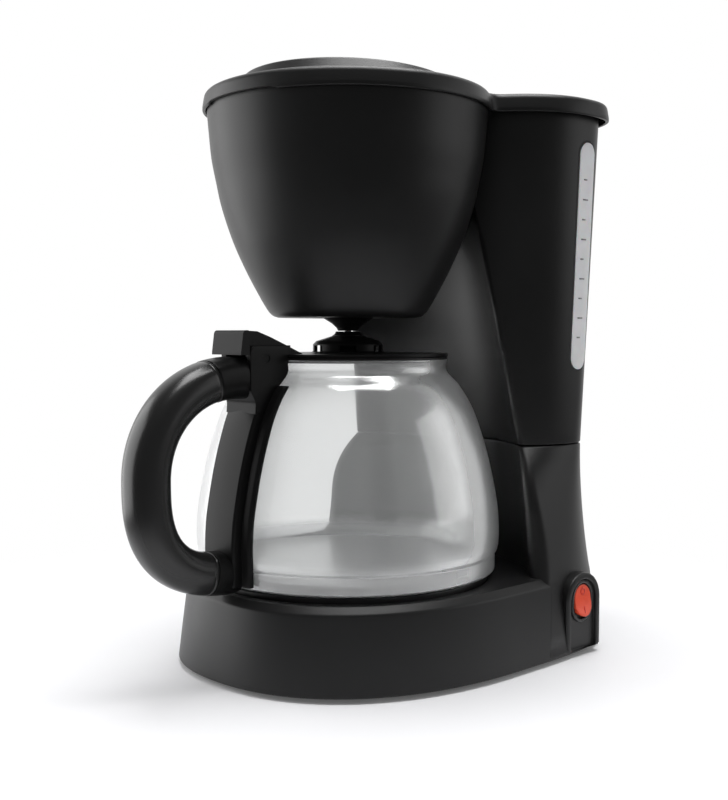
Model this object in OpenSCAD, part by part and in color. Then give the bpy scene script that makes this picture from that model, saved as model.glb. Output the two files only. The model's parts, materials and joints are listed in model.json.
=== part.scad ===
// Drip coffee maker with a glass carafe.
// Millimetres. The origin is on the carafe's axis at the surface it stands on:
// -Y is the front, +X the switch side, +Z up.

/* [Base] */
// Width of the rim round the hot plate, down at the foot
base_rim = 12; // [10:0.5:14]
// Half of the base's greatest width
base_half_w = 75; // [73:0.5:78]
// Distance from the carafe's axis to the back of the base
base_back = 111; // [109:1:116]
// How far the base wall leans in for each millimetre of height
base_lean = 0.12; // [0.05:0.01:0.16]
// Height of the shoulder where the base wall turns in
shoulder_z = 32.7; // [30:0.1:34]
// Height of the lip round the deck above the shoulder
lip_h = 2.8; // [2.4:0.1:3.4]
// Wall of the moulded shells
wall = 2.2; // [1.8:0.1:2.6]
// Height of the seam between the base and the upper housing
seam_z = 90; // [86:1:96]
// Open line left at that seam
seam_gap = 0.4; // [0.2:0.1:0.6]
// Height of the rubber feet under the base
foot_h = 2; // [1.5:0.1:3]
// Radius of a rubber foot
foot_r = 7; // [5:0.5:8]

/* [Hot plate] */
// Radius of the hot plate
plate_r = 60; // [58:0.5:61]
// How far the hot plate stands above the lip
plate_rise = 2; // [1.6:0.1:3]
// Thickness of the hot plate's steel
plate_t = 1.2; // [0.8:0.1:1.5]
// Radius of the heater's U, to the middle of its bar
heater_r = 38; // [34:1:42]
// Width of the heater's bar
heater_w = 12; // [10:0.5:14]
// Height of the heater's bar
heater_h = 8; // [7.5:0.5:9]

/* [Column and tank] */
// Half of the tank's width at the lid
tank_half_w = 71.3; // [68:0.1:74]
// Distance from the tank's widest line to its front nose at the lid
tank_nose = 50.6; // [48:0.1:54]
// Distance from the tank's widest line to its back at the lid
tank_back = 32; // [30:0.5:34]
// Distance from the carafe's axis to the tank's widest line
tank_y = 78; // [76:0.5:80]
// How far the tank wall sits inside the lid's edge at the top
tank_inset = 4.2; // [3.8:0.1:5]
// How far the tank wall leans in for each millimetre down
tank_lean = 0.044; // [0.03:0.002:0.05]
// Radius of the column's hollow front at the deck
front_r_low = 78; // [77:0.5:80]
// Radius of the column's hollow front at the seam
front_r_seam = 73.6; // [72:0.1:75]
// How far the hollow front leans forward for each millimetre above the seam
front_lean = 0.19; // [0.17:0.005:0.2]
// Height of the tank's floor above the seam
tank_floor_h = 8; // [7.5:0.5:12]

/* [Water window] */
// Distance of the window's middle line behind the carafe's axis
window_y = 80; // [78:0.5:82]
// Height of the window's lower end above the tank's floor
window_low_h = 25; // [20:1:30]
// Distance of the window's upper end below the housing's rim
window_drop = 13; // [11:1:20]
// Width of the window
window_w = 11; // [9:0.5:13]

/* [Brew bowl and basket] */
// Radius of the bowl at its rim
bowl_r = 59.4; // [58.8:0.1:60]
// Room between the bowl's wall and the basket
basket_gap = 1.5; // [1:0.1:2.5]
// Wall of the filter basket
basket_wall = 1.6; // [1.2:0.1:2]
// Distance of the basket's rim below the housing's rim
basket_drop = 12; // [11:1:18]

/* [Lid] */
// How far the lid reaches out past the bowl
lid_reach = 1.8; // [1.4:0.1:2.4]
// Height of the lid's rim
lid_top_z = 239; // [238:0.1:240]
// Height of the lid above the housing's rim
lid_rise = 5; // [4.5:0.1:6]
// How far the lid's skirt hangs below the housing's rim
skirt_drop = 2.7; // [2:0.1:3.4]
// Wall of the lid
lid_wall = 1.5; // [1.2:0.1:1.7]
// Radius of the raised disc on the lid, at its foot
disc_r = 48; // [44:0.5:50]
// How far the disc stands above the lid at its front
disc_rise = 7; // [5:0.5:9]

/* [Carafe] */
// How much wider than the hot plate the glass is
glass_bulge = 5; // [4:0.1:6]
// Wall of the glass
glass_wall = 2; // [1.6:0.1:2.4]
// Height of the glass
glass_h = 90; // [86:0.5:94]
// Radius of the glass's neck
neck_r = 42.3; // [41.5:0.1:43]
// Distance from the glass's widest line to the middle of the grip
grip_reach = 37.4; // [34:0.2:40]
// Half of the grip's depth
grip_b = 8.4; // [7.5:0.1:9]
// Half of the grip's width
grip_a = 9.2; // [8:0.1:10]
// Half of the handle strap's width where it hugs the glass
strap_half_w = 13.5; // [11:0.5:15]
// How far the carafe lid reaches out past the neck
carafe_lid_reach = 0.7; // [0.3:0.1:1.5]
// Radius of the steel pin that carries the carafe lid
lid_pin_r = 1.5; // [1.2:0.1:1.8]

/* [Switch] */
// Distance of the switch in front of the base's back
switch_back = 41; // [38:1:45]
// Distance of the switch's middle below the base's shoulder
switch_drop = 9.2; // [8:0.1:11]
// How far the switch panel's face lies inside the base's greatest width
panel_in = 0.8; // [0.5:0.1:1.2]
// Half of the angle that the rocker turns through
rocker_tilt = 9; // [6:0.5:10]

/* [Cord inlet] */
// Radius of the hole that a 7 mm lead passes through
cord_r = 3.6; // [3:0.1:4]
// Height of the cord inlet
cord_z = 14; // [12:0.5:18]
// Distance of the cord inlet from the middle, towards the side without the switch
cord_x = 30; // [20:1:36]

/* [Hidden] */
$fn = 72;

eps = 0.05;              // overlap that joins two solids or clears a face
fit_gap = 0.05;          // radial clearance of a pin in its hole
part_gap = 0.3;          // open space between pieces that move apart
seat_gap = 0.1;          // open space between pieces that are fixed together
ring_points = 96;        // points round a shell's outline

// Radii round the carafe's axis and widths
base_r = plate_r + base_rim;
glass_r = plate_r + glass_bulge;
grip_y = glass_r + grip_reach;
lid_r = bowl_r + lid_reach;
carafe_lid_r = neck_r + carafe_lid_reach;
head_front = neck_r + 18.1;
head_back = neck_r - 2.3;
panel_x = base_half_w - panel_in;

// Heights: from the deck up to the bowl, and from the lid down to the rim
lip_z = shoulder_z + lip_h;
plate_z = lip_z + plate_rise;
glass_z = plate_z + part_gap;
glass_rim_z = glass_z + glass_h;
collar_t = 1;
collar_z = glass_rim_z + seat_gap;
lid_plate_z = collar_z + collar_t + part_gap;
dome_z = lid_plate_z + 9.3;
spout_tip_z = dome_z + 1.4;
bowl_z = spout_tip_z + 5.6;
rim_z = lid_top_z - lid_rise;
basket_rim_z = rim_z - basket_drop;
skirt_z = rim_z - skirt_drop;
disc_z = lid_top_z + disc_rise;
tank_floor_z = seam_z + tank_floor_h;
window_low_z = tank_floor_z + window_low_h;
window_top_z = rim_z - window_drop;
switch_z = shoulder_z - switch_drop;
switch_y = base_back - switch_back;

plastic = "#1d1d1e";
plastic_gloss = "#101011";

// ---- outlines and lofts -------------------------------------------------------

function sgn_pow(v, n) = sign(v) * pow(abs(v), 2 / n);

// An egg: half of a superellipse of length nose before its widest line,
// and half of another of length back behind it
function egg(half_w, nose, back, mid_y, n_front, n_back) =
    [for (i = [0 : ring_points - 1])
        let (t = 360 * i / ring_points, n = t < 180 ? n_back : n_front)
        [half_w * sgn_pow(cos(t), n),
         mid_y + (t < 180 ? back : nose) * sgn_pow(sin(t), n)]];

function lift(outline, z) = [for (p = outline) [p.x, p.y, z]];

function blend(low, high, k) = [for (i = [0 : len(low) - 1]) low[i] * (1 - k) + high[i] * k];

// A closed solid through a list of rings, each a list of as many points
module skin(rings) {
    n = len(rings[0]);
    m = len(rings);
    polyhedron(
        points = [for (ring = rings) each ring],
        faces = concat(
            [[for (i = [0 : n - 1]) i]],
            [[for (i = [0 : n - 1]) (m - 1) * n + n - 1 - i]],
            [for (j = [0 : m - 2], i = [0 : n - 1])
                let (k = (i + 1) % n)
                [j * n + i, (j + 1) * n + i, (j + 1) * n + k, j * n + k]]));
}

// The base's outline, drawn in by a distance
base_mid_y = 25;
base_n_front = 2.3;
base_n_back = 4;
function base_ring(inset) =
    egg(base_half_w - inset, base_r + base_mid_y - inset, base_back - base_mid_y - inset,
        base_mid_y, base_n_front, base_n_back);
function base_inset(z) = base_lean * z;

// The tank's outline, drawn in by a distance from the lid's edge
tank_n_front = 2.2;
tank_n_back = 2.8;
function tank_ring(inset) =
    egg(tank_half_w - inset, tank_nose - inset, tank_back - inset,
        tank_y, tank_n_front, tank_n_back);
function tank_wall_inset(z) = tank_inset + (skirt_z - z) * tank_lean;

// The column flares from the tank's outline at the seam to the base's at the shoulder
column_steps = 5;
column_flare = 0.9;
function column_ring(k, inset) =
    blend(base_ring(base_inset(shoulder_z) + inset),
          tank_ring(tank_wall_inset(seam_z) + inset), pow(k, column_flare));
function column_z(k) = shoulder_z + (seam_z - shoulder_z) * k;

module base_body(inset) {
    skin([for (z = [foot_h, shoulder_z]) lift(base_ring(base_inset(z) + inset), z)]);
}

module column_body(inset) {
    skin([for (j = [0 : column_steps])
        let (k = j / column_steps)
        lift(column_ring(k, inset), column_z(k))]);
}

module tank_body(inset, low, high) {
    skin([for (z = [low, high]) lift(tank_ring(tank_wall_inset(z) + inset), z)]);
}

// The hollow front of the column: a cone round the carafe's axis
function front_r(z) = z < seam_z
    ? front_r_low + (front_r_seam - front_r_low) * (z - lip_z) / (seam_z - lip_z)
    : front_r_seam - front_lean * (z - seam_z);

module front_cone(grow, low, high) {
    rotate_extrude($fn = 120)
        polygon([[0, low], [front_r(low) + grow, low], [front_r(high) + grow, high],
                 [0, high]]);
}

module at_pair(x) {
    for (side = [-1, 1])
        translate([side * x, 0, 0])
            children();
}

// ---- base ---------------------------------------------------------------------

deck_z = lip_z - 2.2;            // top of the deck under the plate's seal
deck_t = 2;
deck_hole_r = heater_r + heater_w / 2 + 8;
recess_r = plate_r + 1.2;
lip_inset = 2.6;
column_top_t = 2.5;
screw_r = 1.5;
pilot_r = screw_r + fit_gap;
boss_r = 3.6;
cover_top_z = foot_h + 2;
front_boss = [0.75, -0.472] * base_r;
side_cover_boss = [base_half_w - 12.2, base_back - 30.5];
cover_boss = [front_boss, [-front_boss.x, front_boss.y], side_cover_boss,
    [-side_cover_boss.x, side_cover_boss.y], [0, base_back - 7.8]];
boss_gap = 1;                    // open space between a boss and the hollow front
side_boss = [0.572, 0.82] * (front_r_seam + wall + boss_r + boss_gap);
back_boss_y = tank_y + tank_back - 18;
housing_boss = [[24, back_boss_y], [-24, back_boss_y], side_boss, [-side_boss.x, side_boss.y]];
hose_x = heater_r;
hose_y = (sqrt(pow(front_r_low + wall, 2) - hose_x * hose_x)
          + tank_y + tank_back - tank_wall_inset(seam_z) - wall) / 2;
inlet_r = cord_r + 1.8;
base_back_y = base_back - base_inset(cord_z);
switch_hole = [14, 13, 19];

module base_hollow() {
    difference() {
        union() {
            skin([for (z = [foot_h - 1, shoulder_z + eps])
                lift(base_ring(base_inset(z) + wall), z)]);
            difference() {
                column_body(wall);
                front_cone(wall, lip_z - 10, seam_z + 1);
            }
        }
        translate([0, 0, deck_z - deck_t])
            cylinder(r = front_r_low + wall, h = 10);
        translate([-base_half_w, -base_r, deck_z - deck_t])
            cube([2 * base_half_w, base_r + base_mid_y, 10]);
        translate([0, 0, seam_z - column_top_t])
            cylinder(r = 200, h = 10);
    }
}

// Base and column in one, which base_shell and column_foot share out at the lip
module lower_housing() {
    difference() {
        union() {
            difference() {
                union() {
                    base_body(0);
                    skin([lift(base_ring(base_inset(shoulder_z)), shoulder_z - eps),
                          lift(base_ring(base_inset(lip_z) + lip_inset), lip_z)]);
                    difference() {
                        column_body(0);
                        front_cone(0, lip_z, seam_z + 1);
                    }
                }
                base_hollow();
            }
            for (p = cover_boss)
                translate([p.x, p.y, cover_top_z])
                    cylinder(r = boss_r, h = deck_z - deck_t - cover_top_z + eps);
        }
        translate([0, 0, deck_z])
            cylinder(r = recess_r, h = 10);
        translate([0, 0, deck_z - deck_t - 1])
            cylinder(r = deck_hole_r, h = 10);
        for (p = cover_boss)
            translate([p.x, p.y, foot_h])
                cylinder(r = pilot_r, h = 12);
        for (p = housing_boss)
            translate([p.x, p.y, seam_z - column_top_t - 1])
                cylinder(r = screw_r + 0.2, h = column_top_t + 2);
        at_pair(hose_x)
            translate([0, hose_y, seam_z - column_top_t - 1])
                cylinder(r = 8, h = column_top_t + 2);
        translate([panel_x - bezel_face_in - switch_hole.x - seat_gap,
                   switch_y - switch_hole.y / 2, switch_z - switch_hole.z / 2])
            cube(switch_hole + [bezel_face_in + 4, 0, 0]);
        translate([-cord_x, base_back_y - 8, cord_z])
            rotate([-90, 0, 0])
                cylinder(r = inlet_r, h = 12);
    }
}

module base_shell() {
    color(plastic)
    difference() {
        lower_housing();
        translate([-200, -200, lip_z])
            cube([400, 400, 200]);
    }
}

// The column's foot stands on the base, up to the seam
module column_foot() {
    color(plastic)
    difference() {
        lower_housing();
        translate([-200, -200, -1])
            cube([400, 400, lip_z + seat_gap + 1]);
    }
}

module bottom_cover() {
    vent = [3, 26];
    color(plastic)
    difference() {
        skin([for (z = [foot_h, cover_top_z])
            lift(base_ring(base_inset(foot_h) + wall + part_gap), z)]);
        for (i = [-4 : 4])
            translate([i * 8 - vent.x / 2, 30, foot_h - 1])
                cube([vent.x, vent.y, 4]);
        for (p = cover_boss)
            translate([p.x, p.y, foot_h - 1])
                cylinder(r = screw_r + 0.2, h = 4);
        for (p = foot_place)
            translate([p.x, p.y, foot_h - 1])
                cylinder(r = foot_pin_r + fit_gap, h = 4);
    }
}

front_foot = [0.583, -0.583] * base_r;
back_foot = [base_half_w - 23, base_back - 39];
foot_place = [front_foot, [-front_foot.x, front_foot.y], back_foot, [-back_foot.x, back_foot.y]];
foot_pin_r = 2.5;
foot_pin_h = 3.4;

module rubber_feet() {
    color("#2a2a2a")
    for (p = foot_place)
        translate([p.x, p.y, 0]) {
            cylinder(r1 = foot_r - 0.8, r2 = foot_r, h = foot_h);
            cylinder(r = foot_pin_r, h = foot_h + foot_pin_h);
        }
}

screw_head_h = 1.6;
screw_head_r = 2.9;

// A pan-head screw pointing up, with its head's top at the origin
module screw(length) {
    difference() {
        union() {
            translate([0, 0, -screw_head_h])
                cylinder(r = screw_head_r, h = screw_head_h);
            cylinder(r = screw_r, h = length);
        }
        for (a = [0, 90])
            rotate(a)
                translate([-1.8, -0.35, -screw_head_h - eps])
                    cube([3.6, 0.7, 0.8]);
    }
}

module cover_screws() {
    color("#b8b8bc")
    for (p = cover_boss)
        translate([p.x, p.y, foot_h])
            screw(11);
}

// ---- hot plate and heater -------------------------------------------------------

seal_t = 1;
heater_top_z = plate_z - plate_t;
heater_low_z = heater_top_z - heater_h;
water_r = 3.2;
nipple_r = 4;
nipple_bore_r = 2.8;
leg_end_y = 26.5;
nipple_y = leg_end_y - 5;
hose_wall = 1.6;
hose_in_r = nipple_r + fit_gap;
hose_out_r = hose_in_r + hose_wall;
elbow_r = 14;
low_elbow_r = 8;
hose_z = cover_top_z + hose_out_r + 0.65;
nipple_h = heater_low_z - low_elbow_r - hose_z;

module plate_seal() {
    color("#55504c")
    translate([0, 0, deck_z])
        difference() {
            cylinder(r = plate_r + 0.6, h = seal_t);
            translate([0, 0, -1])
                cylinder(r = deck_hole_r + 2, h = seal_t + 2);
        }
}

module warming_plate() {
    crown = 0.5;
    color("#262627")
    rotate_extrude($fn = 120)
        polygon([[0, heater_top_z], [plate_r - plate_t, heater_top_z],
                 [plate_r - plate_t, deck_z + seal_t], [plate_r, deck_z + seal_t],
                 [plate_r, plate_z - crown], [plate_r - crown, plate_z], [0, plate_z]]);
}

module heater_section(bore) {
    if (bore)
        translate([0, heater_h / 2])
            circle(r = water_r, $fn = 32);
    else
        translate([-heater_w / 2, 0])
            square([heater_w, heater_h - seat_gap]);
}

module heater_solid(bore, end_y) {
    translate([0, 0, heater_low_z]) {
        rotate([0, 0, 180])
            rotate_extrude(angle = 180)
                translate([heater_r, 0])
                    heater_section(bore);
        at_pair(heater_r)
            translate([0, end_y, 0])
                rotate([90, 0, 0])
                    linear_extrude(end_y)
                        heater_section(bore);
    }
}

module heating_element() {
    color("#a9abad")
    difference() {
        union() {
            heater_solid(false, leg_end_y);
            at_pair(heater_r)
                translate([0, nipple_y, heater_low_z - nipple_h])
                    cylinder(r = nipple_r, h = nipple_h + 1);
        }
        heater_solid(true, nipple_y);
        at_pair(heater_r)
            translate([0, nipple_y, heater_low_z - nipple_h - 1])
                cylinder(r = nipple_bore_r, h = nipple_h + 1 + heater_h / 2);
    }
}

strap_y = 4;
strap_t = 1.5;
strap_w = 14;
strap_stud_x = heater_r - 9;
stud_r = 2;
strap_top_z = heater_low_z - seat_gap;

module heater_strap() {
    color("#c4c6c8")
    difference() {
        translate([-heater_r - heater_w / 2, strap_y - strap_w / 2, strap_top_z - strap_t])
            cube([2 * heater_r + heater_w, strap_w, strap_t]);
        at_pair(strap_stud_x)
            translate([0, strap_y, strap_top_z - strap_t - 1])
                cylinder(r = stud_r + fit_gap, h = strap_t + 2);
    }
}

nut_h = 2.4;

// Two studs with hexagon nuts that pull the strap up to the plate
module heater_nuts() {
    color("#b8b8bc")
    at_pair(strap_stud_x)
        translate([0, strap_y, strap_top_z - strap_t - nut_h]) {
            cylinder(r = 3.8, h = nut_h, $fn = 6);
            cylinder(r = stud_r, h = heater_top_z - strap_top_z + strap_t + nut_h);
        }
}

thermostat_r = 8;
thermostat_h = 7;
blade_x = 4.5;
blade_h = 7;

module thermostat() {
    blade = [0.8, 6.4, blade_h];
    color("#d9d4c8")
    translate([0, -heater_r, strap_top_z - thermostat_h]) {
        cylinder(r = thermostat_r, h = thermostat_h);
        at_pair(blade_x)
            translate([-blade.x / 2, -blade.y / 2, -blade.z])
                cube([blade.x, blade.y, blade.z + eps]);
    }
}

fuse_r = 2.2;
fuse_len = 15;
fuse_x = heater_r - 3;

module thermal_fuse() {
    color("#e8e6df")
    translate([fuse_x, strap_y - strap_w / 2 - 1 - fuse_len,
               heater_low_z - seat_gap - fuse_r])
        rotate([-90, 0, 0])
            cylinder(r = fuse_r, h = fuse_len, $fn = 24);
}

// ---- switch, wiring and cord inlet --------------------------------------------

bezel_half_w = 12;
bezel_rib = 3;
bezel_arch_z = switch_z + 0.5;
bezel_face_in = 1.6;
rocker_half_w = 5;
rocker_half_h = 6.6;
well_gap = 0.4;
rocker_pin_r = 1.2;
rocker_pin_x = panel_x - 2.6;

module arch(half_w, top_z, low_z) {
    translate([switch_y - half_w, low_z])
        square([2 * half_w, top_z - low_z]);
    translate([switch_y, top_z])
        circle(r = half_w);
}

module along_x(from, length) {
    translate([from, 0, 0])
        rotate([90, 0, 90])
            linear_extrude(length)
                children();
}

// A slot with round ends, standing on end
module slot_shape(mid_y, mid_z, half_w, half_h) {
    for (side = [-1, 1])
        translate([mid_y, mid_z + side * (half_h - half_w)])
            circle(r = half_w);
    translate([mid_y - half_w, mid_z - half_h + half_w])
        square([2 * half_w, 2 * (half_h - half_w)]);
}

module switch_bezel() {
    bezel_back = panel_x - 8;
    color(plastic)
    difference() {
        along_x(bezel_back, panel_x - bezel_back)
            arch(bezel_half_w, bezel_arch_z, foot_h);
        along_x(panel_x - bezel_face_in, 4)
            arch(bezel_half_w - bezel_rib, bezel_arch_z, foot_h - 1);
        skin([lift(base_ring(base_inset(foot_h - 1) - seat_gap), foot_h - 1),
              lift(base_ring(base_inset(shoulder_z) - seat_gap), shoulder_z)]);
        skin([for (k = [0, 1 / column_steps]) lift(column_ring(k, -seat_gap), column_z(k))]);
        translate([panel_x - bezel_face_in - switch_hole.x - seat_gap,
                   switch_y - switch_hole.y / 2, switch_z - switch_hole.z / 2])
            cube(switch_hole + [bezel_face_in + 4, 0, 0]);
    }
}

module switch_body() {
    flange_t = 0.9;
    front = panel_x - bezel_face_in;
    body = switch_hole - [0, 2 * seat_gap, 2 * seat_gap];
    color("#232324")
    difference() {
        union() {
            translate([front - body.x, switch_y - body.y / 2, switch_z - body.z / 2])
                cube([body.x + eps, body.y, body.z]);
            along_x(front + eps, flange_t)
                slot_shape(switch_y, switch_z, 7.4, 9.2);
        }
        along_x(front - 7.5, 12)
            slot_shape(switch_y, switch_z, rocker_half_w + well_gap,
                       rocker_half_h + well_gap + 0.4);
        translate([rocker_pin_x, switch_y, switch_z])
            rotate([90, 0, 0])
                cylinder(r = rocker_pin_r + fit_gap, h = 2 * rocker_half_w + 2, center = true);
    }
}

// The rocker stands tilted with its upper end pressed in, which is off
module switch_rocker() {
    color("#e02a1c")
    translate([rocker_pin_x, switch_y, switch_z])
        rotate([0, -rocker_tilt, 0])
            translate([-rocker_pin_x, -switch_y, -switch_z])
                union() {
                    intersection() {
                        along_x(rocker_pin_x - 1.5, 8)
                            slot_shape(switch_y, switch_z, rocker_half_w, rocker_half_h);
                        translate([rocker_pin_x, switch_y, switch_z])
                            rotate([90, 0, 0])
                                linear_extrude(2 * rocker_half_w + 2, center = true)
                                    polygon([[-1.5, -3], [2.9, -rocker_half_h - 1],
                                             [2.1, 0], [2.9, rocker_half_h + 1], [-1.5, 3]]);
                    }
                    translate([rocker_pin_x, switch_y, switch_z])
                        rotate([90, 0, 0])
                            cylinder(r = rocker_pin_r, h = 2 * rocker_half_w + 1.6,
                                     center = true);
                }
}

wire_r = 1.1;
wire_y = base_back - 16;
wire_x = panel_x - 20.2;
wire_end_x = panel_x - bezel_face_in - switch_hole.x - 0.3;
over_hose_z = hose_z + 10.7;

function wire_ring(route, i) =
    let (last = len(route) - 1,
         ahead = route[min(i + 1, last)] - route[max(i - 1, 0)],
         d = ahead / norm(ahead),
         side = abs(d.z) > 0.9 ? [1, 0, 0] : [0, 0, 1],
         u = cross(side, d) / norm(cross(side, d)),
         v = cross(d, u))
    [for (j = [0 : 7]) route[i] + wire_r * (cos(45 * j) * u + sin(45 * j) * v)];

module wire(route) {
    skin([for (i = [0 : len(route) - 1]) wire_ring(route, i)]);
}

// Wires between the cord inlet, the switch, the thermostat and the heater
module wiring() {
    color("#c8c8c8") {
        wire([[-cord_x, base_back_y - 10.5, cord_z + 1.4], [2 - cord_x, wire_y, cord_z],
              [0, wire_y, cord_z - 2], [hose_x + 8, wire_y, cord_z],
              [wire_x, hose_y - 6, switch_z - 6.5], [wire_x + 0.5, switch_y, switch_z - 4.5],
              [wire_end_x, switch_y, switch_z - 4.5]]);
        wire([[wire_end_x, switch_y, switch_z + 3.5], [wire_x + 0.5, switch_y, switch_z + 3.5],
              [hose_x + 12, switch_y - 10, over_hose_z + 1],
              [hose_x + 6, switch_y - 26, over_hose_z], [hose_x - 18, nipple_y + 8, over_hose_z - 1],
              [8, -10, over_hose_z - 5],
              [blade_x, 0.5 - heater_r, strap_top_z - thermostat_h - blade_h - 1.8]]);
    }
}

module cord_inlet() {
    flange_t = 1.5;
    flange_r = inlet_r + 1.4;
    length = 10;
    color("#1a1a1a")
    translate([-cord_x, base_back_y + base_lean * flange_r + flange_t + seat_gap, cord_z])
        rotate([90, 0, 0])
            difference() {
                union() {
                    cylinder(r = flange_r, h = flange_t);
                    cylinder(r = inlet_r - fit_gap, h = length);
                }
                translate([0, 0, -1])
                    cylinder(r = cord_r, h = length + 2);
            }
}

// ---- hoses ----------------------------------------------------------------------

valve_low_z = seam_z - 30;
valve_high_z = valve_low_z + 12;
valve_body_r = 7;
tank_nipple_z = seam_z - 10;
hose_grip = 8;                   // length of hose over a nipple

module hose_section() {
    difference() {
        circle(r = hose_out_r);
        circle(r = hose_in_r);
    }
}

// A hose from the heater's nipple down, back along the floor and up to a height
module hose_from_heater(top_z) {
    elbow_z = hose_z + elbow_r;
    elbow_y = hose_y - elbow_r;
    low_y = nipple_y + low_elbow_r;
    translate([0, nipple_y, hose_z + low_elbow_r])
        linear_extrude(nipple_h - 2)
            hose_section();
    translate([0, low_y, hose_z + low_elbow_r])
        rotate([0, 90, 0])
            rotate([0, 0, -90])
                rotate_extrude(angle = 90)
                    translate([low_elbow_r, 0])
                        hose_section();
    translate([0, elbow_y, hose_z])
        rotate([90, 0, 0])
            linear_extrude(elbow_y - low_y)
                hose_section();
    translate([0, elbow_y, elbow_z])
        rotate([0, 90, 0])
            rotate_extrude(angle = 90)
                translate([elbow_r, 0])
                    hose_section();
    translate([0, hose_y, elbow_z])
        linear_extrude(top_z - elbow_z)
            hose_section();
}

module cold_hose() {
    color("#e4e2da") {
        translate([hose_x, 0, 0])
            hose_from_heater(valve_low_z - seat_gap);
        translate([hose_x, hose_y, valve_high_z + seat_gap])
            linear_extrude(tank_nipple_z + hose_grip - valve_high_z - seat_gap)
                hose_section();
    }
}

// One-way valve that keeps boiling water from going back to the tank
module check_valve() {
    bore_r = 2.4;
    color("#ece9e0")
    translate([hose_x, hose_y, 0])
        difference() {
            union() {
                translate([0, 0, valve_low_z])
                    cylinder(r = valve_body_r, h = valve_high_z - valve_low_z);
                translate([0, 0, valve_low_z - hose_grip])
                    cylinder(r = nipple_r, h = hose_grip + eps);
                translate([0, 0, valve_high_z - eps])
                    cylinder(r = nipple_r, h = 6);
            }
            translate([0, 0, valve_low_z - hose_grip - 1])
                cylinder(r = bore_r, h = 40);
            translate([0, 0, valve_low_z + 2])
                cylinder(r = 4.5, h = 8);
        }
}

riser_low_z = seam_z - 32;

module hot_hose() {
    color("#e4e2da")
    translate([-hose_x, 0, 0])
        hose_from_heater(riser_low_z + hose_grip);
}

module clamp_ring() {
    difference() {
        cylinder(r = hose_out_r + 0.9, h = 4);
        translate([0, 0, -1])
            cylinder(r = hose_out_r + fit_gap, h = 6);
    }
}

module hose_clamps() {
    color("#b5b7ba") {
        at_pair(hose_x)
            translate([0, nipple_y, hose_z + low_elbow_r + 1])
                clamp_ring();
        translate([hose_x, hose_y, valve_low_z - 6])
            clamp_ring();
        translate([hose_x, hose_y, valve_high_z + 1.5])
            clamp_ring();
        translate([hose_x, hose_y, tank_nipple_z + 2])
            clamp_ring();
        translate([-hose_x, hose_y, riser_low_z + 2])
            clamp_ring();
    }
}

// ---- upper housing --------------------------------------------------------------

// The bowl's curve: how far in from its rim's radius, and share of its height
bowl_shape = [[0, 1], [0.8, 0.8916], [1.8, 0.7751], [3.6, 0.6643], [6, 0.5361], [10.6, 0.373],
    [15.9, 0.2331], [21.1, 0.1166], [25, 0.0385], [27.2, 0.0105], [29.4, 0]];
bowl_profile = [for (p = bowl_shape) [bowl_r - p.x, bowl_z + p.y * (skirt_z - bowl_z)]];
bowl_floor_t = 2.4;
bowl_floor_z = bowl_z + bowl_floor_t;
drain_r = 11;

// The bowl's outside, drawn in by a wall and filled down to its floor
module bowl_solid(inset, low, high) {
    rotate_extrude($fn = 120)
        intersection() {
            polygon(concat([[0, rim_z + 10], [bowl_r - inset, rim_z + 10]],
                           [for (p = bowl_profile) [p.x - inset, p.y]],
                           [[0, bowl_z]]));
            translate([0, low])
                square([bowl_r + 10, high - low]);
        }
}

hinge_y = tank_y + tank_back - tank_inset - wall / 2;
hinge_z = skirt_z - 2.3;
hinge_pin_r = 1.5;
ear_r = 3.8;
ear_x = 38;
ear_w = 5;
notch_half_w = 37.8;
notch_z = rim_z - 10;
tube_notch_w = 10;
tube_notch_z = rim_z - 11;
housing_low_z = seam_z + seam_gap;
under_floor_t = 2.2;
window_mid_z = (window_low_z + window_top_z) / 2;
window_half_h = (window_top_z - window_low_z) / 2;
seal_w = 1.2;
merge_z = rim_z - 49;            // where the hollow front runs into the bowl's wall

// Space kept clear of the tank by the bowl and the column's front
module tank_front_keep() {
    rotate_extrude($fn = 120)
        polygon([[0, housing_low_z], [front_r(housing_low_z) + wall, housing_low_z],
                 [front_r(merge_z) + wall, merge_z], [front_r(merge_z) + wall, merge_z + 11],
                 [bowl_r + seat_gap + wall, rim_z - 8], [bowl_r + seat_gap + wall, rim_z + 2],
                 [0, rim_z + 2]]);
}

module hinge_ears() {
    at_pair(ear_x + ear_w / 2)
        translate([0, hinge_y, hinge_z])
            rotate([0, 90, 0])
                cylinder(r = ear_r, h = ear_w, center = true);
    at_pair(ear_x + ear_w / 2)
        translate([-ear_w / 2, hinge_y - ear_r, hinge_z - 12])
            cube([ear_w, wall, 12]);
}

module tube_notch() {
    translate([-hose_x - tube_notch_w / 2, 24, tube_notch_z])
        cube([tube_notch_w, 42, 20]);
}

// The bowl hangs in the front of the housing
module brew_bowl() {
    color(plastic)
    difference() {
        bowl_solid(0, bowl_z, rim_z);
        bowl_solid(wall, bowl_floor_z, rim_z + 2);
        translate([0, 0, bowl_z - 1])
            cylinder(r = drain_r, h = bowl_floor_t + 2);
        tube_notch();
    }
}

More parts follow.
